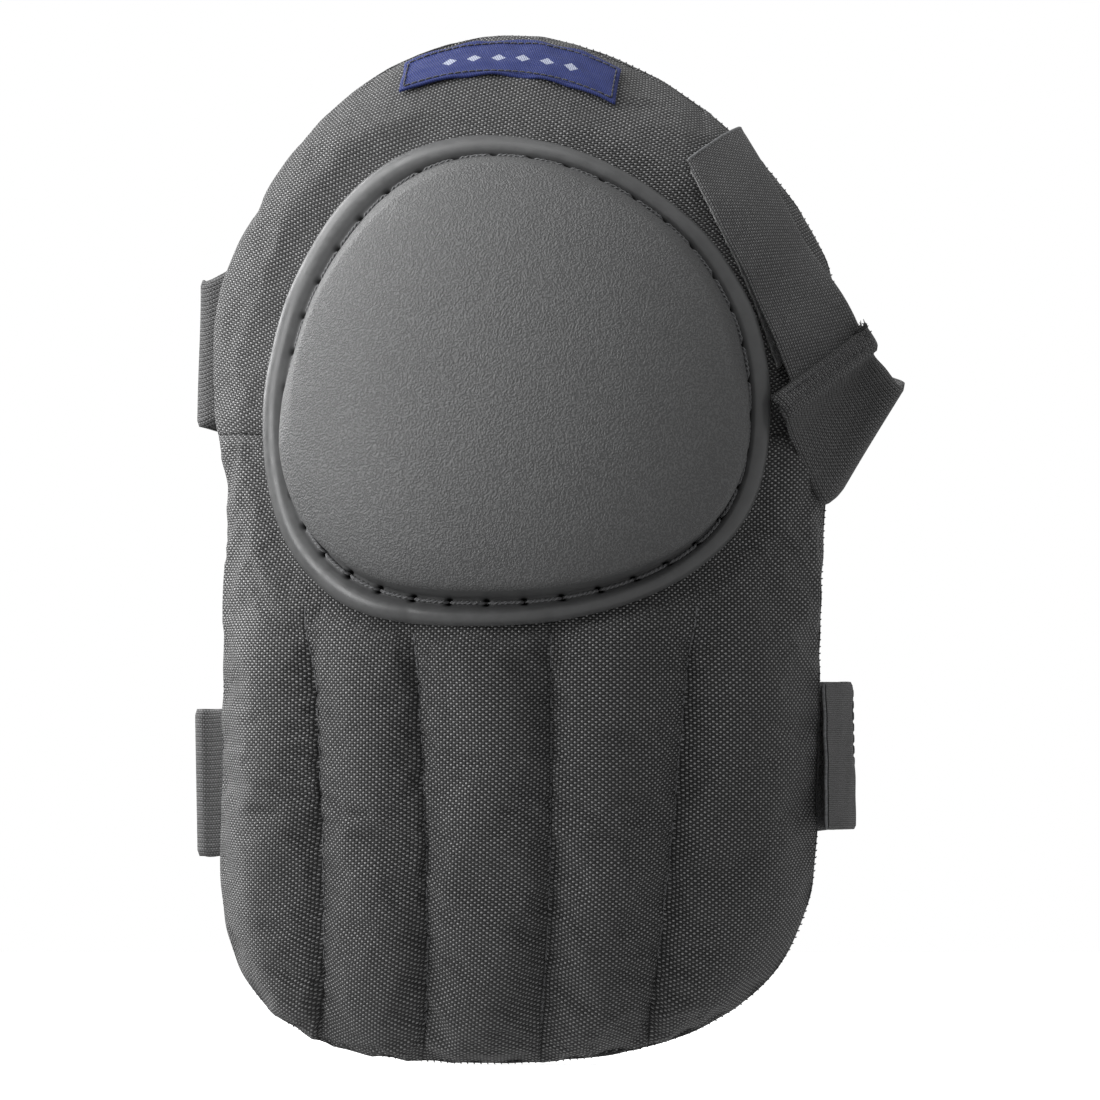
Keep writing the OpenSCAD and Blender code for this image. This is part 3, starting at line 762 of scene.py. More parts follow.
def settled_cloth(points, sewn, swell, slack, most):
    """Lets a cover swell and pucker between its seams with Blender's Cloth, on every second grid point.

    sewn says which points are held, swell is the air pressure under the cover, slack is how much cloth
    there is to spare, and most is the furthest that a point may move. Returns each point's move in mm.
    """
    n, m = points.shape[:2]
    rows, columns = (np.unique(np.append(np.arange(0, k, 2), k - 1)) for k in (n, m))
    coarse = points[np.ix_(rows, columns)]
    trial = mesh_object("cloth_trial", coarse.reshape(-1, 3), grid_quads(len(rows), len(columns)))
    outward = 1 if trial.data.polygons[len(trial.data.polygons) // 2].normal.y < 0 else -1
    held = trial.vertex_groups.new(name="sewn")
    held.add(np.flatnonzero(sewn[np.ix_(rows, columns)]).tolist(), 1.0, "REPLACE")
    cloth = trial.modifiers.new("cloth", "CLOTH")
    cloth.collision_settings.use_collision = False
    cloth.settings.vertex_group_mass = "sewn"
    cloth.settings.quality = 5
    cloth.settings.mass = 0.2
    cloth.settings.tension_stiffness = 15
    cloth.settings.compression_stiffness = 15
    cloth.settings.shear_stiffness = 6
    cloth.settings.bending_stiffness = 0.05
    cloth.settings.shrink_min = -slack
    cloth.settings.use_pressure = True
    cloth.settings.uniform_pressure_force = outward * swell
    cloth.settings.effector_weights.gravity = 0
    cloth.point_cache.frame_start, cloth.point_cache.frame_end = 1, CLOTH_FRAMES
    for frame_number in range(1, CLOTH_FRAMES + 1):
        bpy.context.scene.frame_set(frame_number)
    result = trial.evaluated_get(bpy.context.evaluated_depsgraph_get()).to_mesh()
    after = np.zeros(coarse.size)
    result.vertices.foreach_get("co", after)
    moved = after.reshape(coarse.shape) / MM - coarse
    bpy.data.objects.remove(trial)
    bpy.context.scene.frame_set(1)
    far = np.linalg.norm(moved, axis=-1, keepdims=True)
    moved = moved * most * np.tanh(far / most) / np.maximum(far, 1e-9)
    return spread(spread(moved, rows, n).swapaxes(0, 1), columns, m).swapaxes(0, 1)


def cover(name, heights, turn, slack):
    """One cover panel: swollen over its padding, sewn down along the seams and under the cap."""
    per_channel = 34
    x, z = cover_grid(heights, per_channel)
    lift = cover_height(x, z)
    fold = rim_fold(x, z)
    front = on(x, z, lift) + fold
    sewn = np.zeros(x.shape, bool)
    sewn[[0, -1]] = sewn[:, [0, -1]] = True
    sewn |= cap_distance(x, z) < 1.5
    seams = slice(per_channel, -1, per_channel)
    sewn[:, seams] |= z[:, seams] < FOAM_SPLIT_Z
    moved = settled_cloth(front, sewn, swell=2.0, slack=slack, most=0.8)
    back = on(x, z, lift - CLOTH) + fold + moved
    piece = slab(name, front + moved, back, cloth_uv(x, z, turn))
    settle(piece, COVER, "pad", "cover_fabric", name)


def lining_dent(x, z):
    return 0.35 * ripple(x, z, 77, 22) * field(x - lean(z), z)


def on_lining(x, z, off):
    """Point off mm clear of the lining, straight behind x and z, whatever the lining's slope."""
    near_x, near_z = x, z
    for _ in range(6):
        point = behind(near_x, near_z, off)
        near_x = near_x + 0.8 * (x - point[..., 0])
        near_z = near_z + 0.8 * (z - point[..., 2])
    return behind(near_x, near_z, off + lining_dent(near_x, near_z))


def lining():
    heights = np.concatenate([top_rows(50), np.linspace(5, ROUND_BOTTOM_Z + 1, 70), bottom_rows(36)])
    x, z = cover_grid(heights, 20)
    dent = lining_dent(x, z)
    piece = slab("back_lining", behind(x, z, dent - CLOTH), behind(x, z, dent), cloth_uv(x, z, 0))
    settle(piece, LINING, "pad", "lining_fabric", "back_lining")


# how far the foam lies under the cover's face and over the lining, in from the edge and from a seam
FOAM_GAP, FOAM_IN, FOAM_FROM_SEAM = 1.7, 8, 3.5


def foam_block(name, heights, lo, hi):
    """Foam between the cover and the lining; lo and hi give its sides at a height."""
    z = np.asarray(heights, float)[:, None]
    x = lerp(lo(z), hi(z), np.linspace(0, 1, 17)[None, :]) + lean(z)
    z = np.broadcast_to(z, x.shape)
    piece = slab(name, on(x, z, -FOAM_GAP), behind(x, z, -FOAM_GAP), np.stack([x, z], -1))
    settle(piece, FOAM, "pad", "foam", name)


def foams():
    def left_edge(z):
        return FOAM_IN - half_at(z)

    def right_edge(z):
        return half_at(z) - FOAM_IN

    foam_block("knee_foam", np.linspace(78, -61, 40), left_edge, right_edge)
    for k, low in enumerate((-160, -166, -167, -166, -158)):
        def left(z, k=k):
            return left_edge(z) if k == 0 else seam_x(k - 1, z) + FOAM_FROM_SEAM

        def right(z, k=k):
            return right_edge(z) if k == 4 else seam_x(k, z) - FOAM_FROM_SEAM

        foam_block(f"shin_foam_{k + 1}", np.linspace(-66, low, 34), left, right)


def outline(step):
    """Points round the shell's sewn edge every step mm: x, z and the direction out of the shell."""
    side = np.linspace(ROUND_TOP_Z - 0.1, ROUND_BOTTOM_Z + 0.1, 800)
    z = np.concatenate([TOP_Z, side, LOW_Z])
    half = np.concatenate([TOP_HALF, half_at(side), LOW_HALF])
    x = np.concatenate([half, -half[::-1]])
    z = np.concatenate([z, z[::-1]])
    run = np.concatenate([[0], np.cumsum(np.hypot(np.diff(x), np.diff(z)))])
    keep = np.concatenate([[True], np.diff(run) > 1e-6])
    count = int(round(run[-1] / step))
    s = np.arange(count) * run[-1] / count
    x, z = np.interp(s, run[keep], x[keep]), np.interp(s, run[keep], z[keep])
    dx, dz = np.roll(x, -1) - np.roll(x, 1), np.roll(z, -1) - np.roll(z, 1)
    size = np.hypot(dx, dz)
    return x, z, np.stack([dz / size, np.zeros(count), -dx / size], -1)


def edge_point(x, z, out, depth, reach):
    """A point on the bound edge: depth under the front face, reach mm outside the outline."""
    return at(x, z, depth) + np.asarray(reach)[..., None] * out


def edge_seam():
    """The overlocked edge: a soft folded band and the thread that whips round it."""
    x, z, out = outline(1.1)
    wave = 0.35 * ripple(x, z, 9, 11)
    turn = np.linspace(0, 2 * math.pi, 12, endpoint=False)
    rings = []
    for a in turn:
        depth = SEAM_THICK / 2 - (SEAM_THICK / 2 - 0.1) * math.cos(a)
        reach = 0.1 + (1.1 + wave) * max(math.sin(a), -0.45)
        rings.append(edge_point(x, z, out, depth, reach))
    points = np.stack(rings, 1)
    n, m = points.shape[:2]
    closed = np.concatenate([points, points[:1]])
    faces = grid_quads(n + 1, m, 0, wrap=True) % (n * m)
    uv = np.stack(np.broadcast_arrays(turn[None, :], np.arange(n)[:, None] * 1.1), -1)
    band = mesh_object("edge_seam", closed[:-1].reshape(-1, 3), faces[:, ::-1], uv.reshape(-1, 2))
    settle(band, DARK_YARN, "pad", "seam_tape", "edge_seam")

    x, z, out = outline(1.75)
    paths = []
    angles = np.linspace(-0.25 * math.pi, 1.25 * math.pi, 9)
    shift = np.roll(x, -1) - x, np.roll(z, -1) - z
    for k, a in enumerate(angles):
        share = 0.55 * k / (len(angles) - 1)
        px, pz = x + share * shift[0], z + share * shift[1]
        depth = SEAM_THICK / 2 - (SEAM_THICK / 2 + 0.25) * math.cos(a)
        paths.append(edge_point(px, pz, out, depth, 0.1 + 1.0 * math.sin(a)))
    whip = tubes("edge_overlock", np.stack(paths, 1), 0.19)
    settle(whip, DARK_YARN, "pad", "dark_thread")


def stitch_row(x, z, height, gap, rise, sink):
    """Arched stitches on the cover from each point to the next, with a share of gap free at both ends."""
    p, out = on(x, z, cover_height(x, z) + height), outward(x, z)
    t = np.linspace(gap, 1 - gap, 6)[None, :, None]
    arch = (1 - (2 * t - 1) ** 4) * rise - sink
    return p[:-1, None] * (1 - t) + p[1:, None] * t + arch * out[:-1, None]


def channel_stitching():
    rows = []
    for k, (start, end) in enumerate(((-57, -150), (-64, -167), (-64, -167), (-57, -150))):
        z = np.arange(start, end, -3.3)
        rows.append(stitch_row(seam_x(k, z) + lean(z), z, 0.12, gap=0.08, rise=0.4, sink=0.35))
    piece = tubes("channel_stitching", np.concatenate(rows), 0.24)
    settle(piece, GREY_YARN, "pad", "grey_thread", "channel_stitching")


# ---------------------------------------------------------------- the moulded cap
# [distance in from the cap's edge, height over the cover]
CAP_PROFILE = ((47, 17.0), (36, 16.6), (27, 15.8), (20, 14.8), (15.0, 13.6), (12.0, 12.5),
               (10.7, 11.6), (9.9, 10.3), (9.3, 8.1), (8.8, 5.6), (8.4, 3.6), (7.9, 2.7), (7.0, 2.4),
               (6.1, 2.6), (5.4, 3.3), (4.4, 4.1), (3.1, 4.4), (1.6, 3.9), (0.5, 2.7), (0.0, 1.5), (0.6, 0.4))
DOME_CROWN, CROWN_IN = 17.0, 47
# how deep the stitch holes are, and how far the thread dips into them
PIT_DEPTH = 1.9
# the dome stands this much nearer the bead at the upper right
DOME_OFFSET = 1.8
# round the top the dome's wall leans back, so that the stitch groove shows from the front
WALL_FOOT, WALL_SLOPE = 3.0, 1.35


def cap_outline(a, d):
    """x and z of a point d mm in from the cap's edge, at angle a from the viewer's right."""
    n = np.where(np.sin(a) < 0, 2.5, 2.0)
    upper_right = smooth(np.cos(a - 0.6), -0.3, 0.5)
    d = d - DOME_OFFSET * upper_right * smooth(d, 4, 8) * (1 - smooth(d, 15, 40))
    s = 1 - d / CAP_HALF
    up = np.where(np.sin(a) < 0, CAP_DOWN, CAP_UP)
    z = CAP_MID + s * up * np.sign(np.sin(a)) * np.abs(np.sin(a)) ** (2 / n)
    x = s * CAP_HALF * np.sign(np.cos(a)) * np.abs(np.cos(a)) ** (2 / n) + cap_drift(z)
    return x, z


def even_angles(count, d):
    """Angles that space count points evenly round the cap, d mm in from its edge, clockwise from the top."""
    a = math.pi / 2 - np.linspace(0, 2 * math.pi, 4001)
    x, z = cap_outline(a, np.full(a.shape, float(d)))
    steps = np.linalg.norm(np.diff(on(x, z, np.zeros(a.shape)), axis=0), axis=1)
    far = np.concatenate([[0], np.cumsum(steps)])
    return np.interp(np.arange(count) * far[-1] / count, far, a), far[-1]


def knee_cap():
    round_groove = even_angles(10, GROOVE_IN)[1]
    stitch_count = int(round(round_groove / CAP_STITCH))
    per_stitch = 16
    columns = stitch_count * per_stitch
    a = even_angles(columns, GROOVE_IN)[0]
    profile = spline(CAP_PROFILE, 5)
    inner = np.linspace(CROWN_IN + 15, CROWN_IN, 6)[:-1]
    crown = DOME_CROWN + 0.25 * ((inner - CROWN_IN) / 15) ** 0.8
    d = np.concatenate([inner, profile[:, 0]])
    h = np.concatenate([crown, profile[:, 1]])
    d, a2 = np.meshgrid(d, a, indexing="ij")
    h = np.broadcast_to(h[:, None], d.shape).copy()
    leaning = np.minimum(h, WALL_FOOT + WALL_SLOPE * (d - GROOVE_IN))
    h = lerp(h, leaning, smooth(np.sin(a2), -0.2, 0.3) * (d > GROOVE_IN + 1))
    near = (np.arange(columns) + per_stitch // 2) % per_stitch - per_stitch // 2
    slant = near[None, :] * CAP_STITCH / per_stitch - 0.35 * (d - GROOVE_IN)
    pit = np.exp(-(slant / 0.75) ** 2 - ((d - GROOVE_IN - 0.1) / 1.15) ** 4)
    h -= PIT_DEPTH * pit
    x, z = cap_outline(a2, d)
    wobble = 0.18 * ripple(x, z, 5, 30) * (d < 9)
    rings = on(x, z, h + wobble)
    n, m = rings.shape[:2]
    pole = on(np.array([cap_drift(CAP_MID)]), np.array([CAP_MID]), DOME_CROWN + 0.35)
    under_d = np.array([3.0, 10.5, 12.6])
    under_h = np.array([0.3, 0.3, 5.0])
    ud, ua = np.meshgrid(under_d, a, indexing="ij")
    ux, uz = cap_outline(ua, ud)
    under = on(ux, uz, np.broadcast_to(under_h[:, None], ud.shape))
    points = np.concatenate([rings.reshape(-1, 3), under.reshape(-1, 3), pole])
    faces = grid_quads(n + 3, m, 0, wrap=True).tolist()
    last = len(points) - 1
    faces += [[last, j, (j + 1) % m] for j in range(m)]
    uv = np.stack([points[:, 0], points[:, 2]], -1)
    piece = mesh_object("knee_cap", points, faces, uv)
    # the hole attribute marks the stitch pits, where the bead material paints shade into its colour
    depth = piece.data.attributes.new("hole", "FLOAT", "POINT")
    depth.data.foreach_set("value", np.concatenate([pit.ravel(), np.zeros(len(points) - pit.size)]))
    first_bead = int(np.argmax(profile[:, 0] < 10.0)) + len(inner)
    index = np.zeros(len(piece.data.polygons), int)
    index[first_bead * m:(n + 2) * m] = 1
    piece.data.polygons.foreach_set("material_index", index)
    settle(piece, PLASTIC, "pad", "cap_shell", "knee_cap")
    piece.data.materials.append(BEAD)
    cap_stitching(stitch_count)


def cap_stitching(stitch_count):
    """Two-ply thread along the cap's groove, dipping into a hole between stitches."""
    corner = np.append(even_angles(stitch_count, GROOVE_IN)[0], -1.5 * math.pi)
    share = np.linspace(0, 1, 19)
    strands = []
    for i in range(stitch_count):
        a = lerp(corner[i], corner[i + 1], share)
        x, z = cap_outline(a, np.full(a.shape, GROOVE_IN))
        sink = PIT_DEPTH * np.exp(-(np.minimum(share, 1 - share) / 0.07) ** 2)
        middle = on(x, z, 2.95 - sink)
        out = outward(x, z)
        side = np.cross(out, unit(np.gradient(middle, axis=0)))
        for phase in (0, math.pi):
            spin = share[:, None] * 6.5 * math.pi + phase
            strands.append(middle + 0.22 * (np.cos(spin) * out + np.sin(spin) * side))
    thread = tubes("cap_stitching", strands, 0.27)
    settle(thread, GREY_YARN, "pad", "grey_thread", "cap_stitching")


def dome_cushion():
    a = np.linspace(0, 2 * math.pi, 96, endpoint=False)
    profile = spline([(60, 14.2), (46, 14.0), (30, 12.6), (22, 10.8), (17.5, 8.6), (16, 5.5),
                      (15.6, 1.6), (20, 0.5), (40, 0.5), (60, 0.5)], 3)
    d, a2 = np.meshgrid(profile[:, 0], a, indexing="ij")
    x, z = cap_outline(a2, d)
    rings = on(x, z, np.broadcast_to(profile[:, 1:2], d.shape))
    n, m = rings.shape[:2]
    middle = np.array([cap_drift(CAP_MID)]), np.array([CAP_MID])
    points = np.concatenate([rings.reshape(-1, 3), on(*middle, 14.2), on(*middle, 0.5)])
    faces = grid_quads(n, m, 0, wrap=True).tolist()
    top, low = len(points) - 2, len(points) - 1
    faces += [[top, j, (j + 1) % m] for j in range(m)]
    faces += [[low, (n - 1) * m + (j + 1) % m, (n - 1) * m + j] for j in range(m)]
    piece = mesh_object("dome_cushion", points, faces, points[:, [0, 2]])
    settle(piece, FOAM, "pad", "foam", "dome_cushion")


# ---------------------------------------------------------------- the label
def label_place(u, v):
    """x and z of the label at u, -1 to 1 along it, and v, 0 to 1 down it."""
    rel = u * LABEL_L / 2 * 0.985
    upper = top_at(rel) - 1.9 - 0.8 * u
    lower = SHELL_TOP - 1.6 - 0.5 * LABEL_H - 6 * u * u - 1.8 * u
    return rel + lean(80.0), lerp(upper, lower, v)


def label():
    u, v = np.meshgrid(np.linspace(-1, 1, 97), np.linspace(0, 1, 33))
    x, z = label_place(u, v)
    rim = np.minimum((1 - np.abs(u)) * LABEL_L / 2, np.minimum(v, 1 - v) * LABEL_H)
    curl = 0.35 * np.exp(-(rim / 1.2) ** 2) * (0.4 + ripple(u * 28, v * 18, 12, 9))
    high = cover_height(x, z) + 0.95 + curl + 0.12 * ripple(u * 28, v * 18, 13, 6)
    uv = np.stack([u * LABEL_L / 2, (0.5 - v) * LABEL_H], -1)
    piece = slab("label", on(x, z, high), on(x, z, high - 0.8), uv)
    settle(piece, LABEL_CLOTH, "pad", "label_cloth", "label")

    wide, tall = np.linspace(-0.96, 0.96, 30), np.linspace(0.1, 0.9, 7)
    sides = ((wide, 0 * wide + 0.09), (wide, 0 * wide + 0.91),
             (0 * tall - 0.96, tall), (0 * tall + 0.96, tall))
    rows = [stitch_row(*label_place(u, v), 1.1, gap=0.05, rise=0.25, sink=0.1) for u, v in sides]
    thread = tubes("label_stitching", np.concatenate(rows), 0.2)
    settle(thread, DARK_YARN, "pad", "dark_thread", "label_stitching")


# ---------------------------------------------------------------- straps
def ribbon(rows, steps, count):
    """A smooth band through rows of [lower edge, upper edge]: its middle face, normals and cloth places."""
    rows = spline(rows, steps)
    w = np.linspace(0, 1, count)
    face = rows[:, None, 0] * (1 - w)[:, None] + rows[:, None, 1] * w[:, None]
    middle = rows.mean(1)
    run = unit(np.gradient(middle, axis=0))
    normal = unit(np.cross(run, rows[:, 1] - rows[:, 0]))
    far = np.concatenate([[0], np.cumsum(np.linalg.norm(np.diff(middle, axis=0), axis=1))])
    wide = np.linalg.norm(rows[:, 1] - rows[:, 0], axis=1)
    uv = np.stack([(w[None, :] - 0.5) * wide[:, None], np.broadcast_to(far[:, None], face.shape[:2])], -1)
    return face, np.broadcast_to(normal[:, None], face.shape), uv


def selvedge(face, thick, round_off=0.9):
    """Half the band's thickness at each point, drawn in over the last round_off mm on both sides."""
    wide = np.linalg.norm(face[:, -1] - face[:, 0], axis=-1)[:, None]
    w = np.linspace(0, 1, face.shape[1])[None, :]
    near = np.minimum(w, 1 - w) * wide
    return thick / 2 * np.sqrt(np.clip(1 - (1 - ramp(near, 0, round_off)) ** 2, 0.12, 1))


def band(name, face, normal, uv, thick):
    half = selvedge(face, thick)[..., None]
    return slab(name, face + half * normal, face - half * normal, uv)


def upright(x, y, z, w):
    """A band row across the leg's height; y is measured back from the shell's front."""
    return [[x, y - FRONT_REACH, z - w / 2], [x, y - FRONT_REACH, z + w / 2]]


def row_at(x0, y0, z0, x1, y1, z1):
    return [[x0, y0 - FRONT_REACH, z0], [x1, y1 - FRONT_REACH, z1]]


def tab_spot(s, w):
    """x and z on the shell under the upper hook tab: s from its free end to its seam, w across it."""
    bow = np.sin(math.pi * s)
    x = lerp(lerp(39.8, 68, s) + 3.4 * bow, lerp(51.5, 78.4, s) + 2 * bow, w)
    return x, lerp(lerp(54.5, -6.4, s), lerp(64.5, 10.5, s), w)


def tab_raw(s, w, h):
    x, z = tab_spot(s, w)
    return on(x, z, h + bulge(x, z))


def tab_point(s, w, h):
    """The tab follows the shell at its free end and is straight across at its seam."""
    s, w, h = np.broadcast_arrays(s, w, h)
    k = smooth(s, 0.5, 1)
    low, high = 2.6 * k, 6.5 * k
    soft = tab_raw(s, w, h + lerp(low, high, w))
    straight = lerp(tab_raw(s, 0 * w, h + low), tab_raw(s, 0 * w + 1, h + high), w[..., None])
    return lerp(soft, straight, k[..., None])


TAB_LOW = 2.3
TAB_HIGH = TAB_LOW + TAPE_T


def tab_normal(s, w):
    return unit(tab_point(s, w, TAB_HIGH + 1) - tab_point(s, w, TAB_HIGH))


def loop_patch():
    s, w = np.meshgrid(np.linspace(0.03, 0.85, 90), np.linspace(0.05, 0.8, 24), indexing="ij")
    x, z = tab_spot(s, w)
    rough = 0.12 * ripple(x, z, 61, 2.2)
    high = cover_height(x, z) + PATCH_T + 0.2 + rough
    uv = np.stack([w * 16, s * 68], -1)
    piece = slab("loop_patch", on(x, z, high), on(x, z, high - PATCH_T), uv)
    settle(piece, PILE, "pad", "loop_tape", "loop_patch")

    rng = np.random.default_rng(8)
    count = 900
    s0, w0 = rng.uniform(0.04, 0.84, count), rng.uniform(0.06, 0.79, count)
    x, z = tab_spot(s0, w0)
    foot = on(x, z, cover_height(x, z) + PATCH_T + 0.1)
    out = outward(x, z)
    side = unit(np.cross(out, rng.normal(size=(count, 3))))
    t = np.linspace(0, math.pi, 6)[None, :, None]
    loops = foot[:, None] + 0.35 * np.cos(t) * side[:, None] + 0.42 * np.sin(t) * out[:, None]
    fuzz = tubes("loop_pile", loops, 0.06, sides=4)
    settle(fuzz, PILE, "pad", "loop_tape")


def peel(piece, material, slot, *nodes):
    """Gives a piece of the upper tab its material, bakes its placement into its mesh and hides the CAD nodes
    it stands for.
    """
    piece.data.materials.append(material)
    seam, free = tab_point(np.array([0.92, 0.6]), 0.5, TAB_HIGH) * MM
    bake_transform(piece)
    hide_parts(*nodes)


def upper_hook_tab():
    s, w = np.meshgrid(np.linspace(0, 1, 110), np.linspace(0, 1, 34), indexing="ij")
    x, z = tab_spot(s, w)
    ripples = 0.22 * ripple(x, z, 51, 17) * smooth(s, 0.0, 0.15)
    fold = 0.5 * np.exp(-((w - 0.16) / 0.045) ** 2)
    top = TAB_HIGH + ripples - 0.18 * fold
    edge = np.minimum(w, 1 - w) * 16
    thin = 0.55 * (1 - ramp(edge, 0, 0.8)) ** 2
    under = TAB_LOW + ripples + 0.2 + thin
    uv = np.stack([w * 16.5, s * 67], -1)
    piece = slab("upper_hook_tab", tab_point(s, w, top - thin), tab_point(s, w, under), uv)
    peel(piece, TAPE, "hook_tape", "upper_hook_tab")

    rows = []
    for low_s, high_s in ((0.915, 1.005), (0.965, 1.05)):
        p = np.linspace(-0.2, 1.0, 12)
        q = np.linspace(low_s, high_s, 12)
        a, b = np.stack([q[:-1], p[:-1]], -1), np.stack([q[1:], p[1:]], -1)
        t = np.linspace(0.08, 0.92, 6)
        mid = lerp(a[:, None], b[:, None], t[None, :, None])
        high = TAB_HIGH + 2.85 - 0.3 * (2 * t - 1) ** 4
        rows.append(tab_point(mid[..., 0], mid[..., 1], high))
    thread = tubes("upper_tab_stitching", np.concatenate(rows), 0.24)
    peel(thread, DARK_YARN, "dark_thread", "upper_tab_stitching")

    cut = tab_point(0.003, np.linspace(0.02, 0.98, 60), TAB_HIGH - 0.25)
    rim = tubes("upper_tab_cut_edge", cut[None], 0.42, sides=8)
    peel(rim, SEALED_EDGE, "hook_tape")

    s0, w0 = np.meshgrid(np.linspace(0.03, 0.86, 44), np.linspace(0.06, 0.94, 11), indexing="ij")
    s0, w0 = s0.ravel(), w0.ravel()
    foot = tab_point(s0, w0, TAB_LOW + 0.15)[:, None]
    out = -tab_normal(s0, w0)
    side = unit(np.cross(out, tab_point(s0 + 0.01, w0, TAB_HIGH) - tab_point(s0, w0, TAB_HIGH)))
    t = np.linspace(0, 1.25 * math.pi, 6)[None, :, None]
    paths = foot + 0.26 * (1 - np.cos(t)) * side[:, None] + 0.5 * np.sin(np.minimum(t, 2.6)) * out[:, None]
    hooks = tubes("upper_hooks", paths, 0.07, sides=4)
    peel(hooks, HOOKS, "hook_tape")


def upper_strap():
    """Elastic from the tab's seam, over its fold, round behind the knee to its sewn end."""
    over = TAB_HIGH + 1.3
    back = STRAP_BACK + FRONT_REACH
    rows = [[tab_point(0.885, -0.34, over), tab_point(0.985, 1.0, over)],
            [tab_point(0.98, -0.27, over), tab_point(1.07, 1.04, over)],
            row_at(70.6, 33, -15.5, 88.8, 61, 7.6), row_at(74.4, 37, -25, 92, 61, 3.8),
            row_at(78, 40, -31, 95.8, 59, -0.7), row_at(80.8, 50, -28, 96, 68, 0.5),
            row_at(79.5, 62, -27, 92, 81, 1.6), row_at(76, 84, -28, 85, 94, 3.5)]
    rows += [upright(*p, STRAP_W) for p in ((70, back - 20, -12), (52, back - 7, -12), (28, back - 1, -10),
                                            (0, back, -7), (-30, back - 1, -3), (-60, back - 7, 1),
                                            (-79, back - 21, 5))]
    rows += [row_at(-86.2, 84, -11.6, -87.4, 93, 26.4), row_at(-87, 71, -11, -88.2, 84.5, 27),
             row_at(-85, 65, -11, -85.6, 80.5, 27)]
    rows += [[behind(x, -8.0, 1.7), behind(x, 32.0, 1.7)] for x in (-80.5, -74, -67, -60)]
    face, normal, uv = elastic(rows, 71, 33)
    hem = 1 + 0.8 * (1 - smooth(uv[..., 1], 6.2, 7.6))
    piece = band("upper_strap", face, normal, uv, STRAP_T * hem)
    settle(piece, ELASTIC, "pad", "elastic", "upper_strap")
    sewn_box("upper_anchor_stitching", (-74, -63), (-5, 29), 1.95)

    rng = np.random.default_rng(4)
    count = 46
    corner, travel = face[0, -1], unit(face[4, -1] - face[0, -1])
    wide = unit(face[0, -1] - face[0, -6])
    foot = corner - wide * rng.uniform(0, 3.2, count)[:, None]
    foot = foot + normal[0, -1] * rng.normal(0, 0.6, count)[:, None]
    aim = unit(-travel + 0.35 * wide + 0.4 * rng.normal(size=(count, 3)))
    sag = 0.4 * rng.normal(size=(count, 3))
    t = np.linspace(0, 1, 6)[None, :, None]
    length = rng.uniform(0.8, 2.2, count)[:, None, None]
    paths = foot[:, None] + aim[:, None] * t * length + sag[:, None] * t * t
    fray = tubes("strap_fray", paths, 0.14, sides=5)
    settle(fray, ELASTIC, "pad", "elastic")


def lay_down(face, full, start, off):
    """Brings the part of a band inside the shell's edge down onto the lining, off mm clear of it."""
    x, z = face[..., 0], face[..., 2]
    side = np.sign(full)
    k = smooth(side * x, side * full + 2.5, side * start - 1.5)
    flat = on_lining(x, z, off)
    inside = (face[..., 1] < flat[..., 1] + 9) & (side * x > 0)
    k = np.where(inside, k, 0)
    return lerp(face, flat, k[..., None])


def elastic(rows, seed, size):
    """A strap's face: laid down on the lining at the viewer's left, and gently wavy where it is free."""
    face, normal, uv = ribbon(rows, 22, 26)
    face = lay_down(face, -77, -71, 1.05)
    free = smooth(face[..., 1:2], -12, 14)
    wave = 0.35 * ripple(uv[..., 0] * 0.6, uv[..., 1], seed, size)[..., None]
    return face + wave * normal * free, normal, uv


def sewn_box(name, xs, zs, off):
    """A stitched box with its two diagonals, over a strap's sewn end."""
    (x0, x1), (z0, z1) = xs, zs
    runs = [((x0, z0), (x1, z0)), ((x1, z0), (x1, z1)), ((x1, z1), (x0, z1)), ((x0, z1), (x0, z0)),
            ((x0, z0), (x1, z1)), ((x0, z1), (x1, z0))]
    paths = []
    for (ax, az), (bx, bz) in runs:
        n = max(2, int(round(math.hypot(bx - ax, bz - az) / 2.9)))
        k = (np.arange(n)[:, None] + np.linspace(0.06, 0.94, 6)[None, :]) / n
        arch = 0.28 - 0.35 * (2 * np.linspace(0, 1, 6)[None, :] - 1) ** 4
        x, z = lerp(ax, bx, k), lerp(az, bz, k)
        paths.append(behind(x, z, off + lining_dent(x, z) + arch))
    thread = tubes(name, np.concatenate(paths), 0.26)
    settle(thread, GREY_YARN, "pad", "grey_thread", name)


def lower_strap():
    z = LOWER_STRAP_Z
    low, high = z - STRAP_W / 2, z + STRAP_W / 2
    rows = [[behind(x, low, 5.5), behind(x, high, 3.0)] for x in (-60, -66, -71, -75)]
    rows += [row_at(x, y + 3, low, x, y - 2.5, high) for x, y in
             ((-81, 57), (-85, 59.5), (-86.6, 64.5), (-86, 74.5))]
    rows += [upright(*p, STRAP_W) for p in ((-82, 92, z), (-69, 107, z + 1),
                                            (-40, 117, z + 2), (0, 121, z + 3.5), (40, 117, z + 5),
                                            (66, 107, z + 6), (76.5, 92, z + 7), (80.2, 82, z + 7))]
    face, normal, uv = elastic(rows, 72, 31)
    piece = band("lower_strap", face, normal, uv, STRAP_T)
    settle(piece, ELASTIC, "pad", "elastic", "lower_strap")
    sewn_box("lower_anchor_stitching", (-73, -62), (z - 16, z + 16), 1.95)


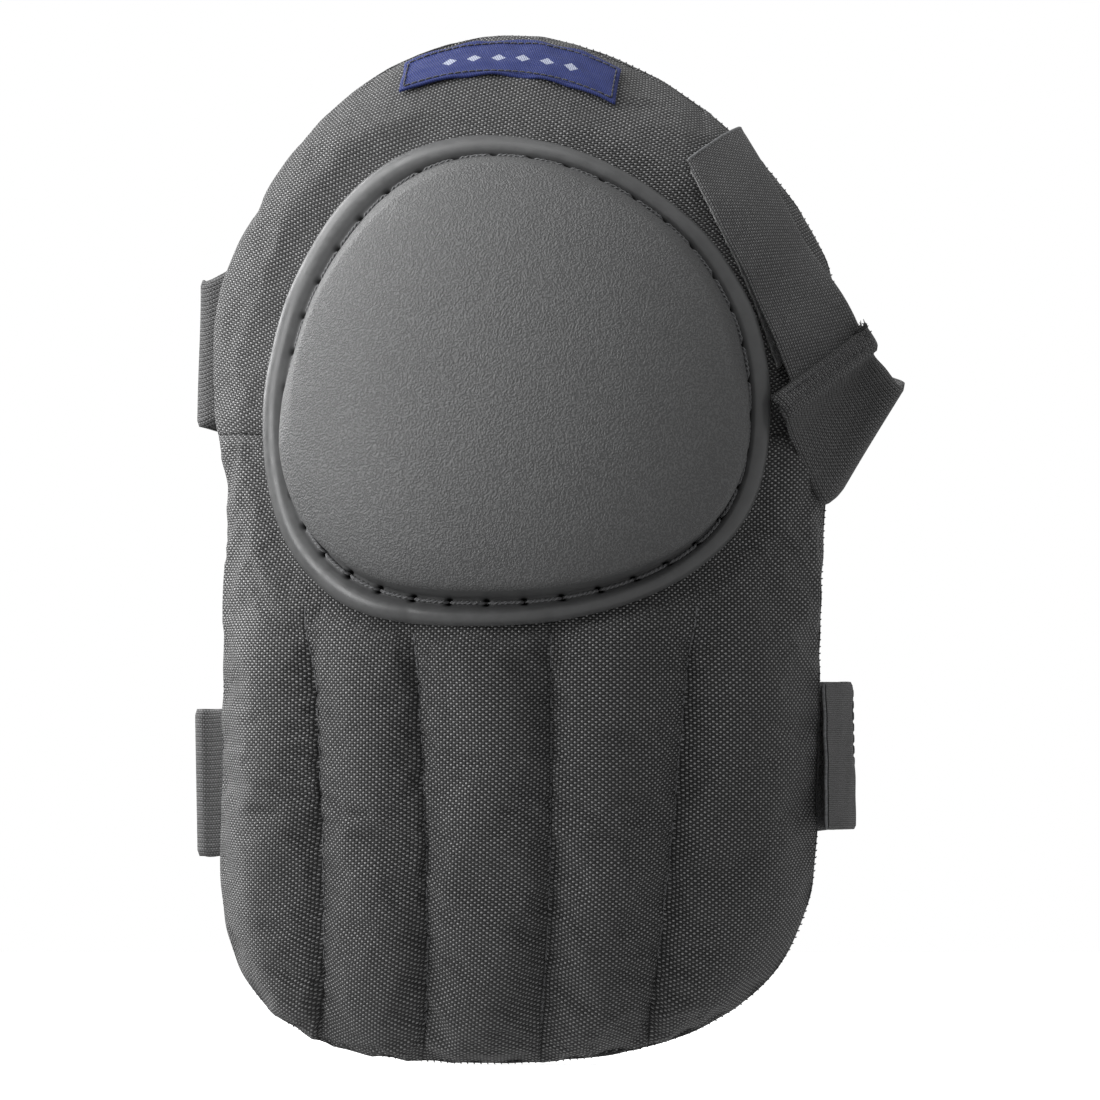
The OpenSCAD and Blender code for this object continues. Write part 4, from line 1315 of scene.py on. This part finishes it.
def lower_loop_wing():
    """Loop tape sewn behind the right edge, for the lower hook tab to close on."""
    z0, z1 = LOWER_RIGHT_Z - STRAP_W / 2, LOWER_RIGHT_Z + STRAP_W / 2
    rows = [[behind(x, z0, 3.7), behind(x, z1, 2.4)] for x in (60, 66, 71, 75)]
    rows += [upright(x, y, LOWER_RIGHT_Z, STRAP_W) for x, y in
             ((77.4, 55.5), (79.2, 62), (79.8, 69), (79.2, 77), (75.5, 87.5), (69.5, 96))]
    face, normal, uv = ribbon(rows, 14, 26)
    face = lay_down(face, 77, 71, 0.95)
    piece = band("lower_loop_wing", face, normal, uv, PATCH_T)
    settle(piece, PILE, "pad", "loop_tape", "lower_loop_wing")
    sewn_box("wing_stitching", (61, 72), (LOWER_RIGHT_Z - 16, LOWER_RIGHT_Z + 16), 1.75)


def lower_hook_tab():
    low, high = LOWER_RIGHT_Z - STRAP_W / 2, LOWER_RIGHT_Z + STRAP_W / 2
    rows = [row_at(x + 0.3, y, low, x - lean_in, y, high) for x, y, lean_in in
            ((80.6, 81.5, 0.0), (81.9, 75, 0.6), (82.2, 68, 1.2), (81.4, 60, 1.2), (79.6, 51, 0.8),
             (78.1, 44.5, 0.5))]
    face, normal, uv = ribbon(rows, 14, 40)
    wave = 0.18 * ripple(uv[..., 0], uv[..., 1], 73, 15)[..., None]
    piece = band("lower_hook_tab", face + wave * normal, normal, uv, TAPE_T)
    settle(piece, TAPE, "lower_tab", "hook_tape", "lower_hook_tab")
    rim = tubes("lower_tab_cut_edge", (face[-1] + wave[-1] * normal[-1])[None], 0.45, sides=8)
    settle(rim, SEALED_EDGE, "lower_tab", "hook_tape")
    paths = []
    outward = normal * np.sign(normal[..., :1])
    k = np.linspace(0.06, 0.94, 6)
    width = np.linspace(0.04, 0.96, 13)
    share = lerp(width[:-1, None], width[1:, None], k)[..., None]
    lift = (TAPE_T / 2 + 0.05 - 0.35 * (2 * k - 1) ** 4)[:, None]
    for far in (1.6, 4.2):
        row = int(np.argmin(np.abs(uv[:, 0, 1] - far)))
        paths.append(lerp(face[row, 0], face[row, -1], share) + lift * outward[row, 0])
    thread = tubes("lower_tab_stitching", np.concatenate(paths), 0.24)
    settle(thread, DARK_YARN, "lower_tab", "dark_thread", "lower_tab_stitching")


cover("upper_cover", UPPER_HEIGHTS, 10, 0.006)
cover("lower_cover", LOWER_HEIGHTS, 0, 0.028)
lining()
foams()
edge_seam()
channel_stitching()
knee_cap()
dome_cushion()
label()
loop_patch()
upper_hook_tab()
upper_strap()
lower_strap()
lower_loop_wing()
lower_hook_tab()


# ---------------------------------------------------------------- floor, lights and camera
CENTRE = Vector((0.0045, -0.036, -0.0429))
# name, azimuth, elevation, watts
LIGHTS = (("key_high", -90, 50, 11.7), ("key_low", -60, 15, 14.2), ("top", -45, 75, 3.3),
          ("back_left", -130, 25, 10.4))


def aimed(obj, place, target):
    obj.location = place
    obj.rotation_euler = (Vector(target) - Vector(place)).to_track_quat("-Z", "Y").to_euler()
    bpy.context.scene.collection.objects.link(obj)
    return obj


def softbox(name, azimuth, elevation, power):
    """An area light 1.4 m from the object; azimuth 0 is the front and -90 the viewer's left."""
    a, e = math.radians(azimuth), math.radians(elevation)
    lamp = bpy.data.lights.new(name, "AREA")
    lamp.shape = "RECTANGLE"
    lamp.size, lamp.size_y = 0.7, 0.9
    lamp.energy = power
    away = Vector((math.sin(a) * math.cos(e), -math.cos(a) * math.cos(e), math.sin(e)))
    return aimed(bpy.data.objects.new(name, lamp), CENTRE + 1.4 * away, CENTRE)


def studio_floor():
    """A pale flat floor, lit evenly so that it reads as white; nothing stands up to hide the back views."""
    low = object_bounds()[0][2]
    x, y = np.meshgrid(np.linspace(-3.0, 3.0, 7), np.linspace(-3.0, 3.0, 7))
    points = np.stack([x, y, 0 * x + low], -1).reshape(-1, 3)
    floor = mesh_object("studio_floor", points / MM, grid_quads(*x.shape))
    pale = (0.82, 0.82, 0.82)
    s = Shade("floor_paint", pale, 0.9, 0.1)
    s.paint(pale, s.remap(s.noise(s.place(), 12.0, 3.0), 0.3, 0.7, 0.99, 1.01))
    s.skin.inputs["Emission Color"].default_value = (1, 1, 1, 1)
    s.skin.inputs["Emission Strength"].default_value = 0.75
    floor.data.materials.append(s.mat)
    floor.visible_diffuse = False
    floor.visible_glossy = False
    floor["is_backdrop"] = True


def world():
    w = bpy.data.worlds.new("studio")
    bpy.context.scene.world = w
    w.use_nodes = True
    tree = w.node_tree
    tree.nodes.clear()
    out = tree.nodes.new("ShaderNodeOutputWorld")
    plain, seen = tree.nodes.new("ShaderNodeBackground"), tree.nodes.new("ShaderNodeBackground")
    plain.inputs[0].default_value = (1, 1, 1, 1)
    plain.inputs[1].default_value = 0.45
    seen.inputs[0].default_value = (1, 1, 1, 1)
    seen.inputs[1].default_value = 1.0
    path, mix = tree.nodes.new("ShaderNodeLightPath"), tree.nodes.new("ShaderNodeMixShader")
    tree.links.new(path.outputs["Is Camera Ray"], mix.inputs[0])
    tree.links.new(plain.outputs[0], mix.inputs[1])
    tree.links.new(seen.outputs[0], mix.inputs[2])
    tree.links.new(mix.outputs[0], out.inputs[0])


def camera():
    """The photograph's view: 6 degrees round to the right, level, through a very long lens."""
    data = bpy.data.cameras.new("photo_camera")
    cam = bpy.data.objects.new("photo_camera", data)
    turn = math.radians(6.0)
    distance, frame_width = 11.0, 0.2825
    pivot = Vector((0, -0.072, 0))
    right = Vector((math.cos(turn), math.sin(turn), 0))
    ahead = Vector((-math.sin(turn), math.cos(turn), 0))
    aim = pivot + right * 0.0113 + Vector((0, 0, -0.0429))
    data.lens = data.sensor_width * distance / frame_width
    data.clip_end = 50
    aimed(cam, aim - ahead * distance, aim)
    bpy.context.scene.camera = cam


studio_floor()
world()
for name, azimuth, elevation, power in LIGHTS:
    softbox(name, azimuth, elevation, power)
camera()
bpy.context.scene.view_settings.view_transform = "Standard"
